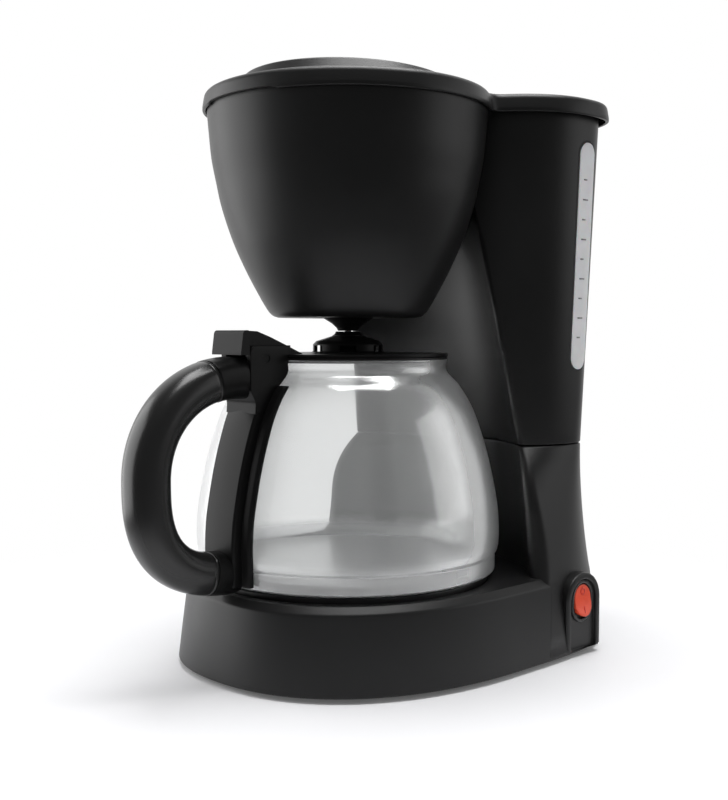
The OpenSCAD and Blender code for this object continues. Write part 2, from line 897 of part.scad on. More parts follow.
module upper_housing() {
    color(plastic)
    difference() {
        union() {
            difference() {
                tank_body(0, housing_low_z, rim_z);
                front_cone(0, housing_low_z - 1, merge_z + 15);
                bowl_solid(-seat_gap, bowl_z - 1, rim_z + 2);
                difference() {
                    tank_body(wall, tank_floor_z, rim_z + 2);
                    tank_front_keep();
                }
                difference() {
                    tank_body(wall, housing_low_z - 2, tank_floor_z - under_floor_t);
                    tank_front_keep();
                }
            }
            for (p = housing_boss)
                translate([p.x, p.y, housing_low_z])
                    cylinder(r = boss_r, h = tank_floor_z - housing_low_z - 1);
            translate([hose_x, hose_y, tank_nipple_z])
                cylinder(r = nipple_r, h = tank_floor_z - tank_nipple_z - 1);
            hinge_ears();
        }
        for (p = housing_boss)
            translate([p.x, p.y, housing_low_z - 1])
                cylinder(r = pilot_r, h = tank_floor_z - housing_low_z - 1.2);
        translate([hose_x, hose_y, tank_nipple_z - 1])
            cylinder(r = 2.8, h = 30);
        translate([-hose_x, hose_y, tank_floor_z - 10])
            cylinder(r = riser_seal_r, h = 20);
        along_x(40, 50)
            slot_shape(window_y, window_mid_z, window_w / 2 + seal_w,
                       window_half_h + seal_w);
        translate([-notch_half_w, hinge_y - 8, notch_z])
            cube([2 * notch_half_w, 20, 20]);
        tube_notch();
        translate([0, hinge_y, hinge_z])
            rotate([0, 90, 0])
                cylinder(r = hinge_pin_r + fit_gap, h = 120, center = true);
    }
}

module housing_screws() {
    color("#b8b8bc")
    for (p = housing_boss)
        translate([p.x, p.y, seam_z - column_top_t])
            screw(column_top_t + tank_floor_h - 2.7);
}

module window_block(half_w, half_h, proud) {
    intersection() {
        along_x(40, 50)
            slot_shape(window_y, window_mid_z, half_w, half_h);
        difference() {
            tank_body(-proud, window_low_z - 5, window_top_z + 5);
            tank_body(wall, window_low_z - 6, window_top_z + 6);
        }
    }
}

module water_window() {
    color("#c9c9c7")
        window_block(window_w / 2, window_half_h, 0.2);
}

module window_seal() {
    color("#141414")
    difference() {
        window_block(window_w / 2 + seal_w - eps, window_half_h + seal_w - eps, 0);
        along_x(39, 52)
            slot_shape(window_y, window_mid_z, window_w / 2 + eps, window_half_h + eps);
    }
}

riser_r = 3.5;
riser_bore_r = 2.5;
riser_seal_r = 5.6;
riser_bend_r = 8;
riser_out_z = rim_z - 4.4;
riser_end_y = 46.5;

module riser_tube() {
    bend_z = riser_out_z - riser_bend_r;
    color("#dcdad2")
    translate([-hose_x, 0, 0]) {
        difference() {
            union() {
                translate([0, hose_y, riser_low_z])
                    cylinder(r = riser_r, h = bend_z - riser_low_z);
                translate([0, hose_y, riser_low_z])
                    cylinder(r = nipple_r, h = hose_grip - seat_gap);
            }
            translate([0, hose_y, riser_low_z - 1])
                cylinder(r = riser_bore_r, h = bend_z - riser_low_z + 2);
        }
        translate([0, hose_y - riser_bend_r, bend_z])
            rotate([0, -90, 0])
                rotate_extrude(angle = 90)
                        translate([riser_bend_r, 0])
                            difference() {
                                circle(r = riser_r);
                                circle(r = riser_bore_r);
                            }
        translate([0, hose_y - riser_bend_r, riser_out_z])
            rotate([90, 0, 0])
                difference() {
                    cylinder(r = riser_r, h = hose_y - riser_bend_r - riser_end_y);
                    translate([0, 0, -1])
                        cylinder(r = riser_bore_r, h = 60);
                }
    }
}

module riser_seal() {
    groove_t = under_floor_t + 0.4;
    color("#8a4a3a")
    translate([-hose_x, hose_y, tank_floor_z])
        difference() {
            union() {
                cylinder(r = riser_seal_r + 1.2, h = 1.4);
                translate([0, 0, -under_floor_t])
                    cylinder(r = riser_seal_r - fit_gap, h = groove_t);
            }
            translate([0, 0, -10])
                cylinder(r = riser_r + fit_gap, h = 20);
        }
}

// ---- drip valve -----------------------------------------------------------------

spout_tip_r = 4.2;
stem_r = 1.4;
stem_tip_z = spout_tip_z - 0.5;
stem_lift = 2.5;                 // how far the stem drops when the carafe is taken out
seal_r = 5.2;
seal_low_z = bowl_z + 0.2;
seal_h = 1.4;
stem_flange_t = 0.6;
cage_z = bowl_floor_z + 5;
stem_top_z = cage_z + 1.4;

module drip_spout() {
    seat_r = seal_r - 0.2;
    seat_z = seal_low_z - stem_lift - 0.2;
    color("#171717")
    difference() {
        rotate_extrude()
            polygon([[stem_r + 0.9, spout_tip_z], [spout_tip_r, spout_tip_z],
                     [5, spout_tip_z + 1.4], [7, spout_tip_z + 3.2], [drain_r - fit_gap, bowl_z],
                     [drain_r - fit_gap, bowl_floor_z], [drain_r + 2, bowl_floor_z],
                     [drain_r + 2, bowl_floor_z + 1.2], [8.2, bowl_floor_z + 1.2],
                     [7, seat_z + 0.6], [seat_r - 1.2, seat_z], [stem_r + 0.9, seat_z - 1]]);
    }
}

module valve_stem() {
    color("#d8d6d0")
    union() {
        translate([0, 0, stem_tip_z])
            cylinder(r = stem_r, h = stem_top_z - stem_tip_z);
        translate([0, 0, seal_low_z + seal_h])
            cylinder(r = 3.4, h = stem_flange_t);
    }
}

module valve_seal() {
    color("#b5452f")
    translate([0, 0, seal_low_z])
        difference() {
            cylinder(r1 = seal_r - 0.6, r2 = seal_r, h = seal_h);
            translate([0, 0, -1])
                cylinder(r = stem_r, h = seal_h + 2);
        }
}

spring_r = 2.6;
spring_wire = 0.35;
spring_low_z = seal_low_z + seal_h + stem_flange_t;
spring_turns = 4;
spring_ring = 24;

module valve_spring() {
    free = cage_z - 1.2 - spring_low_z - 2 * spring_wire;
    steps = spring_turns * spring_ring;
    color("#c0c2c4")
    skin([for (i = [0 : steps])
        let (a = 360 * i / spring_ring,
             z = spring_low_z + spring_wire + free * i / steps)
        [for (j = [0 : 5])
            let (r = spring_r + spring_wire * cos(60 * j))
            [r * cos(a), r * sin(a), z + spring_wire * sin(60 * j)]]]);
}

// A cap on three legs over the valve, which guides the stem and holds its spring
module valve_cage() {
    cap_t = 1.2;
    color("#1f1f1f") {
        translate([0, 0, cage_z - cap_t])
            difference() {
                cylinder(r = 8, h = cap_t);
                translate([0, 0, -1])
                    cylinder(r = stem_r + fit_gap, h = cap_t + 2);
            }
        for (a = [30, 150, 270])
            rotate(a)
                translate([6.4, -1.2, bowl_floor_z + 1.2])
                    cube([1.6, 2.4, cage_z - cap_t - bowl_floor_z - 1.2 + eps]);
        translate([0, 0, bowl_floor_z + 1.2])
            difference() {
                cylinder(r = 11, h = 0.8);
                translate([0, 0, -1])
                    cylinder(r = 6.4, h = 3);
            }
    }
}

// ---- filter basket --------------------------------------------------------------

basket_inset = wall + basket_gap;
basket_floor_z = cage_z + 2.4;
basket_foot_r = bowl_r - 33.4;

function basket_outer(grow) = [for (p = bowl_profile)
    if (p.y < basket_rim_z - 1 && p.y > basket_floor_z + 1) [p.x - basket_inset - grow, p.y]];
basket_top_r = bowl_r - 0.8 - basket_inset;

module filter_basket() {
    low_r = bowl_r - 23.4 - basket_inset;
    rim_w = 1.2;
    color("#202021")
    difference() {
        union() {
            rotate_extrude($fn = 120)
                polygon(concat(
                    [[basket_top_r - basket_wall, basket_rim_z],
                     [basket_top_r + rim_w - 0.6, basket_rim_z],
                     [basket_top_r + rim_w - 0.6, basket_rim_z - 2.2],
                     [basket_top_r - 0.2, basket_rim_z - 2.2]],
                    basket_outer(0),
                    [[low_r, basket_floor_z], [basket_foot_r, basket_floor_z],
                     [basket_foot_r, bowl_floor_z + part_gap],
                     [basket_foot_r - basket_wall, bowl_floor_z + part_gap],
                     [basket_foot_r - basket_wall, basket_floor_z], [6, basket_floor_z],
                     [6, basket_floor_z + 1.8], [low_r - 0.6, basket_floor_z + 1.8]],
                    [for (i = [len(basket_outer(0)) - 1 : -1 : 0])
                        basket_outer(basket_wall)[i]]));
            for (i = [0 : 11])
                rotate(30 * i)
                    translate([7, -0.5, basket_floor_z + 1.8 - eps])
                        cube([low_r - 9, 1, 1.6]);
            at_pair(lug_low_x + lug_w / 2)
                translate([-lug_w / 2, -4, bail_z - 4])
                    cube([lug_w, 8, 8.5]);
        }
        translate([0, 0, bail_z])
            rotate([0, 90, 0])
                cylinder(r = bail_pin_r + fit_gap, h = 2 * bail_pin_x + 1, center = true);
    }
}

bail_z = basket_rim_z - 6;
lug_low_x = basket_top_r - 6.7;
lug_w = 4.7;
bail_r = lug_low_x - 2.2;
bail_pin_x = lug_low_x + 3.3;
bail_wire_r = 1.6;
bail_pin_r = 1.2;

// A half-ring handle that lies flat on the front half of the basket
module basket_handle() {
    color("#202021")
    translate([0, 0, bail_z]) {
        rotate([0, 0, 180])
            rotate_extrude(angle = 180)
                translate([bail_r, 0])
                    circle(r = bail_wire_r, $fn = 24);
        at_pair(bail_r)
            sphere(r = bail_wire_r + 0.3, $fn = 24);
        at_pair((bail_r + bail_pin_x) / 2)
            rotate([0, 90, 0])
                cylinder(r = bail_pin_r, h = bail_pin_x - bail_r, center = true, $fn = 24);
    }
}

// ---- lid ------------------------------------------------------------------------

neck_fillet = 5;

// The lid's outline: the bowl's circle and the tank's egg with a soft neck between
module lid_outline(inset) {
    offset(delta = -inset)
        offset(r = -neck_fillet)
            offset(r = neck_fillet) {
                circle(r = lid_r, $fn = 96);
                polygon(tank_ring(0));
            }
}

disc_low_r = disc_r;
disc_top_r = disc_r - 4;
disc_tilt = 2.3;
skirt_notch_half_w = 21;
lid_edge = 1;

module disc_solid(inset, low) {
    difference() {
        rotate_extrude($fn = 120)
            polygon([[0, low], [disc_low_r - inset, low],
                     [disc_low_r - inset, lid_top_z], [disc_top_r - inset, disc_z - inset],
                     [0, disc_z - inset]]);
        translate([0, -disc_top_r, disc_z - inset])
            rotate([-disc_tilt, 0, 0])
                translate([-80, -20, 0])
                    cube([160, 160, 20]);
    }
}

module brew_lid() {
    knuckle_r = 3.4;
    block_half_w = notch_half_w - part_gap;
    color(plastic)
    difference() {
        union() {
            difference() {
                union() {
                    translate([0, 0, skirt_z])
                        linear_extrude(lid_top_z - skirt_z - lid_edge)
                            lid_outline(0);
                    translate([0, 0, lid_top_z - lid_edge - eps])
                        linear_extrude(lid_edge + eps)
                            lid_outline(lid_edge / 2);
                    disc_solid(0, lid_top_z - 1);
                }
                translate([0, 0, skirt_z - 1])
                    linear_extrude(lid_top_z - lid_wall - skirt_z + 1)
                        lid_outline(lid_wall);
                disc_solid(lid_wall, lid_top_z - 3);
                translate([-skirt_notch_half_w, -80, skirt_z - 1])
                    cube([2 * skirt_notch_half_w, 40, 4]);
            }
            translate([0, hinge_y, hinge_z])
                rotate([0, 90, 0])
                    cylinder(r = knuckle_r, h = 2 * block_half_w, center = true);
            translate([-block_half_w, hinge_y - knuckle_r, hinge_z])
                cube([2 * block_half_w, 2 * knuckle_r, lid_top_z - lid_wall - hinge_z + eps]);
        }
        translate([0, hinge_y, hinge_z])
            rotate([0, 90, 0])
                cylinder(r = hinge_pin_r + fit_gap, h = 120, center = true);
        at_pair(ear_x + ear_w / 2)
            translate([0, hinge_y, hinge_z])
                rotate([0, 90, 0])
                    cylinder(r = ear_r + part_gap, h = ear_w + 2 * part_gap, center = true);
    }
}

module lid_hinge_pin() {
    color("#b8b8bc")
    translate([0, hinge_y, hinge_z])
        rotate([0, 90, 0])
            cylinder(r = hinge_pin_r, h = 2 * (ear_x + ear_w), center = true);
}

spray_z = rim_z - 5;
spray_r = 22;

// A shower plate and its channel on the lid's underside
module spray_head() {
    top_z = lid_top_z - lid_wall - seat_gap;
    hood_w = tube_notch_w - 1.6;
    channel_low_z = rim_z - 0.6;
    hood_back_y = 50;
    color("#2c2c2d")
    difference() {
        union() {
            translate([0, 0, spray_z])
                cylinder(r = spray_r, h = top_z - spray_z);
            hull()
                for (p = [[-12, 12], [-hose_x, 44]])
                    translate([p.x, p.y, channel_low_z])
                        cylinder(r = hood_w / 2, h = top_z - channel_low_z, $fn = 32);
        }
        translate([0, 0, spray_z + 1.4])
            cylinder(r = spray_r - 1.6, h = top_z - spray_z - 2.8);
        hull()
            for (p = [[-10, 10], [-hose_x, 44]])
                translate([p.x, p.y, channel_low_z - 1])
                    cylinder(r = hood_w / 2 - 1.4, h = top_z - channel_low_z - 0.4, $fn = 32);
        for (i = [0 : 7])
            rotate(45 * i)
                for (r = [7, 14])
                    translate([r, 0, spray_z - 1])
                        cylinder(r = 1.1, h = 4, $fn = 24);
    }
}

// ---- carafe ---------------------------------------------------------------------

foot_band_r = glass_r - 1.7;
// The glass's curve: share of the way in from the belly to the neck, height below the rim
belly_in = glass_r - neck_r;
glass_curve = [[0.009, 78.3], [0, 73.8], [0.009, 67.8], [0.035, 61.3], [0.097, 53.3],
    [0.185, 43.8], [0.304, 33.8], [0.454, 23.8], [0.599, 16.8], [0.771, 10.8],
    [0.912, 7.4], [0.987, 5.4], [1.013, 3.2], [0.991, 0]];
glass_profile = concat(
    [[foot_band_r - 2.4, glass_z], [foot_band_r - 0.5, glass_z + 1],
     [foot_band_r, glass_z + 2.6], [foot_band_r, glass_z + 7.8],
     [foot_band_r + 0.5, glass_z + 8.8]],
    [for (p = glass_curve)
        [glass_r - p.x * belly_in, glass_rim_z - p.y * glass_h / 90]]);

module glass_solid(grow) {
    rotate_extrude($fn = 120)
        polygon(concat([[0, glass_z]], [for (p = glass_profile) [p.x + grow, p.y]],
                       [[0, glass_rim_z]]));
}

module carafe_glass() {
    last = len(glass_profile) - 1;
    floor_in = glass_z + glass_wall + 0.4;
    color("#dfe6e8", 0.4)
    rotate_extrude($fn = 120)
        polygon(concat([[0, glass_z + 1]], [[foot_band_r - 8, glass_z + 0.8]],
                       glass_profile,
                       [for (i = [last : -1 : 3]) [glass_profile[i].x - glass_wall,
                                                   glass_profile[i].y]],
                       [[foot_band_r - glass_wall - 2, floor_in], [0, floor_in]]));
}

module carafe_collar() {
    color(plastic)
    difference() {
        union() {
            translate([0, 0, collar_z])
                cylinder(r = neck_r + 0.5, h = collar_t, $fn = 120);
            translate([0, 0, collar_z - 5])
                cylinder(r = neck_r - glass_wall - 0.5, h = 5 + eps, $fn = 120);
        }
        translate([0, 0, collar_z - 6])
            cylinder(r = neck_r - glass_wall - 1.7, h = 10, $fn = 120);
        translate([-head_half_w - seat_gap, -neck_r - 2, collar_z - 0.5])
            cube([2 * (head_half_w + seat_gap), neck_r + 2 - head_back + seat_gap, 3]);
    }
}

// The grip's middle line: a superellipse in the plane of the handle
loop_mid = [-head_front - 1.6, glass_z + 0.5022 * glass_h];
loop_y = grip_y + loop_mid.x;
loop_top = glass_rim_z - 6.4 - loop_mid.y;
loop_low = loop_mid.y - glass_z - 6.9;
loop_n_top = 2.1;
loop_n_low = 2.7;
function loop_point(t) =
    let (n = t < 180 ? loop_n_top : loop_n_low, h = t < 180 ? loop_top : loop_low)
    [0, loop_mid.x + loop_y * sgn_pow(cos(t), n), loop_mid.y + h * sgn_pow(sin(t), n)];
grip_sides = 20;
grip_round = 2.4;
function grip_ring(t, a, b) =
    let (d = loop_point(t + 1) - loop_point(t - 1),
         u = d / norm(d),
         out = [0, u.z, -u.y])
    [for (j = [0 : grip_sides - 1])
        let (s = 360 * j / grip_sides)
        loop_point(t) + [a * sgn_pow(cos(s), grip_round), 0, 0]
            - b * sgn_pow(sin(s), grip_round) * out];
joint_top_t = 106;
joint_low_t = 256;

grip_step_t = 7.5;
tongue_half_w = 4;
tongue_half_t = 3;
tongue_top_t = [100, 112, 122];
tongue_low_t = [262, 250, 240];
handle_screw_y = -glass_r - 19;
handle_screw_z = glass_z + 3.7;
handle_screw_len = 7;

// The line at a distance from the grip's middle line, in the plane of the handle
function loop_edge(t, distance) =
    let (d = loop_point(t + 1) - loop_point(t - 1), u = d / norm(d))
    [loop_point(t).y - distance * u.z, loop_point(t).z + distance * u.y];

// A plate that carries on the grip's curve through a list of angles
module loop_plate(angles, half_w, half_t) {
    along_x(-half_w, 2 * half_w)
        polygon(concat([for (t = angles) loop_edge(t, half_t)],
                       [for (i = [len(angles) - 1 : -1 : 0]) loop_edge(angles[i], -half_t)]));
}

// The glossy outer grip, with a pocket at each end for the handle's tongues
module handle_grip() {
    color(plastic_gloss)
    difference() {
        skin([for (t = [joint_top_t : grip_step_t : joint_low_t])
            grip_ring(t, grip_a, grip_b)]);
        for (angles = [tongue_top_t, tongue_low_t])
            loop_plate(concat(angles, [angles[2] + sign(angles[2] - angles[1])]),
                       tongue_half_w + seat_gap, tongue_half_t + seat_gap);
        translate([0, handle_screw_y, loop_mid.y - loop_low - grip_b - 1])
            cylinder(r = screw_r + 0.2, h = 20, $fn = 24);
        translate([0, handle_screw_y, handle_screw_z - 20])
            cylinder(r = screw_head_r + 0.2, h = 20, $fn = 24);
    }
}

neck_half_w = 8.7;
joint_open_t = 0.8;
head_half_w = 9.5;
head_top_z = lid_plate_z + 4.8;
head_low_z = glass_rim_z - 15.8;
lid_pin_y = -neck_r - 10.2;
lid_pin_z = lid_plate_z - 0.2;
arm_half_w = 5.6;
cheek_gap = 0.4;
slot_floor_z = glass_rim_z - 2.8;
strap_depth = 5.2;
strap_core_half_w = 6.5;
flange_t = 2.2;
hug_low_z = glass_z + 2.2;
hug_top_z = glass_rim_z - 9.8;

module head_outline() {
    hull() {
        translate([-head_front + 3, head_top_z - 3])
            circle(r = 3, $fn = 32);
        translate([-head_back - 1, head_top_z - 1])
            circle(r = 1, $fn = 32);
        translate([-head_front + 2, head_low_z])
            square([head_front - head_back - 2, 1]);
    }
}

module carafe_handle() {
    color(plastic)
    difference() {
        union() {
            intersection() {
                glass_solid(strap_depth);
                translate([-strap_core_half_w, -100, hug_low_z])
                    cube([2 * strap_core_half_w, 100, hug_top_z - hug_low_z]);
            }
            intersection() {
                glass_solid(flange_t);
                translate([-strap_half_w, -100, hug_low_z + 2])
                    cube([2 * strap_half_w, 100, hug_top_z - hug_low_z]);
            }
            along_x(-head_half_w, 2 * head_half_w)
                head_outline();
            loop_plate([82, 90, 98, joint_top_t - joint_open_t], neck_half_w, grip_b);
            loop_plate([joint_low_t + joint_open_t, 262, 268, 276, 288], neck_half_w, grip_b);
            for (angles = [tongue_top_t, tongue_low_t])
                loop_plate(angles, tongue_half_w, tongue_half_t);
        }
        glass_solid(seat_gap);
        cylinder(r = plate_r + 1.5, h = glass_z + seat_gap);
        translate([0, 0, collar_z - 6])
            cylinder(r = neck_r + 0.2 + seat_gap, h = 6);
        translate([-head_half_w - 1, -head_back, collar_z - 3])
            cube([2 * head_half_w + 2, 10, 20]);
        translate([-arm_half_w - cheek_gap, -head_front - 20, slot_floor_z])
            cube([2 * (arm_half_w + cheek_gap), head_front + 21 - head_back, 20]);
        translate([0, lid_pin_y, lid_pin_z])
            rotate([0, 90, 0])
                cylinder(r = lid_pin_r + fit_gap, h = 40, center = true);
        translate([-head_half_w - 1, -head_front - 9, slot_floor_z])
            cube([2 * head_half_w + 2, 9, 20]);
        translate([0, handle_screw_y, handle_screw_z])
            cylinder(r = pilot_r, h = handle_screw_len + 0.6, $fn = 24);
    }
}

module handle_screw() {
    color("#b8b8bc")
    translate([0, handle_screw_y, handle_screw_z])
        screw(handle_screw_len);
}

lid_plate_t = 1.1;
dome_r = 15;
lever_front = neck_r + 22.7;
lever_back = head_front + part_gap;
lever_half_w = 6.4;
lever_low_z = lid_plate_z + 1.2;
lever_top_z = lid_plate_z + 10.8;

module carafe_lid() {
    plate_top = lid_plate_z + lid_plate_t;
    lens = [7, 3.4];
    color(plastic)
    difference() {
        union() {
            difference() {
                translate([0, 0, lid_plate_z])
                    cylinder(r = carafe_lid_r, h = lid_plate_t, $fn = 120);
                translate([-head_half_w - part_gap, -carafe_lid_r - 1, lid_plate_z - 1])
                    cube([2 * (head_half_w + part_gap), carafe_lid_r + 1 - head_back + 1.4, 4]);
            }
            rotate_extrude()
                polygon([[0, plate_top - eps], [dome_r + 1.5, plate_top - eps],
                         [dome_r, plate_top + 1], [dome_r, dome_z - 4.4],
                         [dome_r - 1.4, dome_z - 3], [6, dome_z - 0.6], [3.6, dome_z - 0.2],
                         [0, dome_z - 0.2]]);
            translate([0, 0, lid_plate_z - 4])
                difference() {
                    cylinder(r = neck_r - glass_wall - 2.6, h = 4 + eps, $fn = 120);
                    translate([0, 0, -1])
                        cylinder(r = neck_r - glass_wall - 4, h = 6, $fn = 120);
                }
            along_x(-arm_half_w, 2 * arm_half_w)
                polygon([[-lever_back - 1, lever_low_z + 1], [-lever_back - 1, lever_top_z],
                         [lid_pin_y - 1.5, lever_top_z - 0.4],
                         [lid_pin_y + 5, lever_top_z - 2.6],
                         [lid_pin_y + 12.5, lever_top_z - 5.6],
                         [lid_pin_y + 22.5, plate_top - eps], [lid_pin_y + 16.5, lid_plate_z],
                         [lid_pin_y + 7.5, lid_plate_z],
                         [lid_pin_y + 3, lid_pin_z - 2.6], [lid_pin_y - 1, lid_pin_z - 3.4],
                         [lid_pin_y - 3.4, lid_pin_z - 1]]);
            along_x(-lever_half_w, 2 * lever_half_w)
                hull() {
                    translate([-lever_front + 2.6, lever_top_z - 1.6])
                        circle(r = 1.6, $fn = 32);
                    translate([-lever_back - 1, lever_top_z - 1])
                        circle(r = 1, $fn = 32);
                    translate([-lever_front, lever_low_z])
                        square([lever_front - lever_back, 1]);
                }
        }
        rotate_extrude()
            polygon([[0, lid_plate_z - 1], [dome_r - 1.4, lid_plate_z - 1],
                     [dome_r - 1.4, dome_z - 5], [5, dome_z - 2.2], [0, dome_z - 2.2]]);
        translate([0, 0, dome_z - 4])
            cylinder(r = 2, h = 6);
        for (i = [0 : 5])
            rotate(60 * i + 17)
                translate([dome_r - 3, -lens.x / 2, plate_top + 0.6])
                    cube([6, lens.x, lens.y - 0.6]);
        translate([0, lid_pin_y, lid_pin_z])
            rotate([0, 90, 0])
                cylinder(r = lid_pin_r + fit_gap, h = 40, center = true);
    }
}

module carafe_lid_pin() {
    color("#8e9092")
    translate([0, lid_pin_y, lid_pin_z])
        rotate([0, 90, 0])
            cylinder(r = lid_pin_r, h = 2 * head_half_w - 1.2, center = true);
}

base_shell();
column_foot();
bottom_cover();
rubber_feet();
cover_screws();
plate_seal();
warming_plate();
heating_element();
heater_strap();
heater_nuts();
thermostat();
thermal_fuse();
switch_bezel();
switch_body();
switch_rocker();
wiring();
cord_inlet();
cold_hose();
check_valve();
hot_hose();
hose_clamps();
upper_housing();
brew_bowl();
housing_screws();
water_window();
window_seal();
riser_tube();
riser_seal();
drip_spout();
valve_stem();
valve_seal();
valve_spring();
valve_cage();
filter_basket();
basket_handle();
brew_lid();
spray_head();
lid_hinge_pin();
carafe_glass();
carafe_collar();
carafe_handle();
handle_grip();
handle_screw();
carafe_lid();
carafe_lid_pin();
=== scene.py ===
"""Looks of a drip coffee maker with a glass carafe: surfaces, finishes, lamps and camera."""

import json
import logging
import math
from collections.abc import Sequence
from dataclasses import dataclass
from enum import Enum

import bmesh
import bpy
import numpy as np
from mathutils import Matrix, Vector


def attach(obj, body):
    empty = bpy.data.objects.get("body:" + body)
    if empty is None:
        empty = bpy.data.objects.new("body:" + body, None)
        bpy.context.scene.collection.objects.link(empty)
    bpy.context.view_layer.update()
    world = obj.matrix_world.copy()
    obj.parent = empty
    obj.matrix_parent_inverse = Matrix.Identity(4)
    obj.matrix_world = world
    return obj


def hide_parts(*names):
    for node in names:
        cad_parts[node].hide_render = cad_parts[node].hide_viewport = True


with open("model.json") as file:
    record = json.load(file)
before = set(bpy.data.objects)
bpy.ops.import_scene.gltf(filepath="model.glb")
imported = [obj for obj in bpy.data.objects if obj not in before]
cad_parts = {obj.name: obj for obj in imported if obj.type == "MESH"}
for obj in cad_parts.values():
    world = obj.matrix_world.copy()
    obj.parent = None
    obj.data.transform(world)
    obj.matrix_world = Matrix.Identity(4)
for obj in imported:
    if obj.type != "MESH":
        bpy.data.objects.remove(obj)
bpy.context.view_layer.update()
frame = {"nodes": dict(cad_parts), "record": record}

MM = 0.001
TURN = 2 * math.pi
WHITE = (1, 1, 1, 1)
LOG = logging.getLogger("coffee_maker")
Array = np.ndarray
Pair = tuple[float, float]
Triple = tuple[float, float, float]


# ---- curves ------------------------------------------------------------------------


def rounded(points: Sequence[Sequence[float]], radii: Sequence[float], steps: int = 5) -> Array:
    """Line through points whose corners are arcs.

    Each arc touches both sides of its corner at radius / tan(half the corner's angle).

    Args:
        points: corners of the line, one row each.
        radii: radius at each corner, 0 for a sharp one; the ends stay sharp.
        steps: parts that each arc is divided into.

    Returns:
        The points of the rounded line.
    """
    pts = np.asarray(points, float)
    out = [pts[:1]]
    for before, corner, after, radius in zip(pts[:-2], pts[1:-1], pts[2:], radii[1:-1]):
        to_a, to_b = before - corner, after - corner
        len_a, len_b = np.linalg.norm(to_a), np.linalg.norm(to_b)
        u, v = to_a / len_a, to_b / len_b
        half = 0.5 * math.acos(float(np.clip(u @ v, -1, 1)))
        if radius <= 0 or half < 0.02 or half > math.pi / 2 - 0.02:
            out.append(corner[None])
            continue
        reach = min(radius / math.tan(half), 0.48 * len_a, 0.48 * len_b)
        centre = corner + (u + v) / np.linalg.norm(u + v) * reach / math.cos(half)
        out.append(arc_between(corner + u * reach, corner + v * reach, centre, steps))
    out.append(pts[-1:])
    return np.concatenate(out)


def arc_between(start: Array, end: Array, centre: Array, steps: int) -> Array:
    """Arc from start to end: the two spokes weighted by sin((1-t)a) and sin(ta) over sin(a).

    Args:
        start: first point.
        end: last point.
        centre: middle of the arc's circle.
        steps: parts that the arc is divided into.

    Returns:
        steps + 1 points.
    """
    a, b = start - centre, end - centre
    cosine = a @ b / (np.linalg.norm(a) * np.linalg.norm(b))
    angle = math.acos(float(np.clip(cosine, -1, 1)))
    t = np.linspace(0, 1, steps + 1)[:, None]
    if angle < 1e-6:
        return start + (end - start) * t
    return centre + (np.sin((1 - t) * angle) * a + np.sin(t * angle) * b) / math.sin(angle)


def spline(points: Sequence[Sequence[float]], per: int = 6) -> Array:
    """Cubic through points whose slope at each is half the step between its neighbours.

    Args:
        points: points to pass through.
        per: parts that each span is divided into.

    Returns:
        The points of the curve.
    """
    pts = np.asarray(points, float)
    padded = np.concatenate([2 * pts[:1] - pts[1:2], pts, 2 * pts[-1:] - pts[-2:-1]])
    p0, p1, p2, p3 = padded[:-3], padded[1:-2], padded[2:-1], padded[3:]
    t = np.linspace(0, 1, per, endpoint=False)[None, :, None]
    m1, m2 = ((p2 - p0) / 2)[:, None], ((p3 - p1) / 2)[:, None]
    body = (
        (2 * t**3 - 3 * t**2 + 1) * p1[:, None]
        + (t**3 - 2 * t**2 + t) * m1
        + (3 * t**2 - 2 * t**3) * p2[:, None]
        + (t**3 - t**2) * m2
    )
    return np.concatenate([body.reshape(-1, pts.shape[1]), pts[-1:]])


def resampled(points: Array, count: int) -> Array:
    """The same line with count points at even distances along it."""
    step = np.linalg.norm(np.diff(points, axis=0), axis=1)
    along = np.concatenate([[0], np.cumsum(step)])
    at = np.linspace(0, along[-1], count)
    return np.stack([np.interp(at, along, points[:, k]) for k in range(points.shape[1])], 1)


def signed_power(value: Array, power: float | Array) -> Array:
    """The value's sign times its size to a power."""
    return np.sign(value) * np.abs(value) ** power


def soft_step(value: float | Array, low: float, high: float) -> float | Array:
    """3t^2 - 2t^3, with t running from 0 at low to 1 at high."""
    t = np.clip((value - low) / (high - low), 0, 1)
    return t * t * (3 - 2 * t)


def outward(points: Array) -> Array:
    """Unit normals of a plane line that runs clockwise: its tangents turned left."""
    tangent = np.gradient(points, axis=0)
    tangent /= np.linalg.norm(tangent, axis=1)[:, None]
    return np.stack([-tangent[:, 1], tangent[:, 0]], 1)


def mirrored(half: Array) -> Array:
    """A closed ring from its right half, which starts and ends on the middle plane."""
    other = half[-2:0:-1] * np.array([-1, 1])
    return np.concatenate([half, other])


def lifted(ring: Array, z: float | Array) -> Array:
    """A plane ring as points at height z."""
    return np.column_stack([ring, np.broadcast_to(z, len(ring))])


@dataclass(frozen=True)
class Egg:
    """Half of one superellipse behind its widest line and half of another before it."""

    half_w: float
    nose: float
    back: float
    mid_y: float
    n_front: float
    n_back: float

    def half(self, inset: float, count: int = 900) -> Array:
        """Right half from the back to the front.

        x is half the width times cos^(2/n), y the length times sin^(2/n).

        Args:
            inset: distance that the outline is drawn in by.
            count: number of points.

        Returns:
            Points of the right half.
        """
        t = np.linspace(math.pi / 2, -math.pi / 2, count)
        n = np.where(t > 0, self.n_back, self.n_front)
        length = np.where(t > 0, self.back, self.nose) - inset
        x = (self.half_w - inset) * np.abs(np.cos(t)) ** (2 / n)
        x[[0, -1]] = 0
        return np.stack([x, self.mid_y + length * signed_power(np.sin(t), 2 / n)], 1)


BASE_EGG = Egg(75.0, 97.0, 86.0, 25.0, 2.3, 4.0)
TANK_EGG = Egg(71.3, 50.6, 32.0, 78.0, 2.2, 2.8)


def at_angles(angle: Array, radius: float | Array = 1.0) -> Array:
    """Points at angles on a circle round the origin."""
    return np.stack([radius * np.cos(angle), radius * np.sin(angle)], -1)


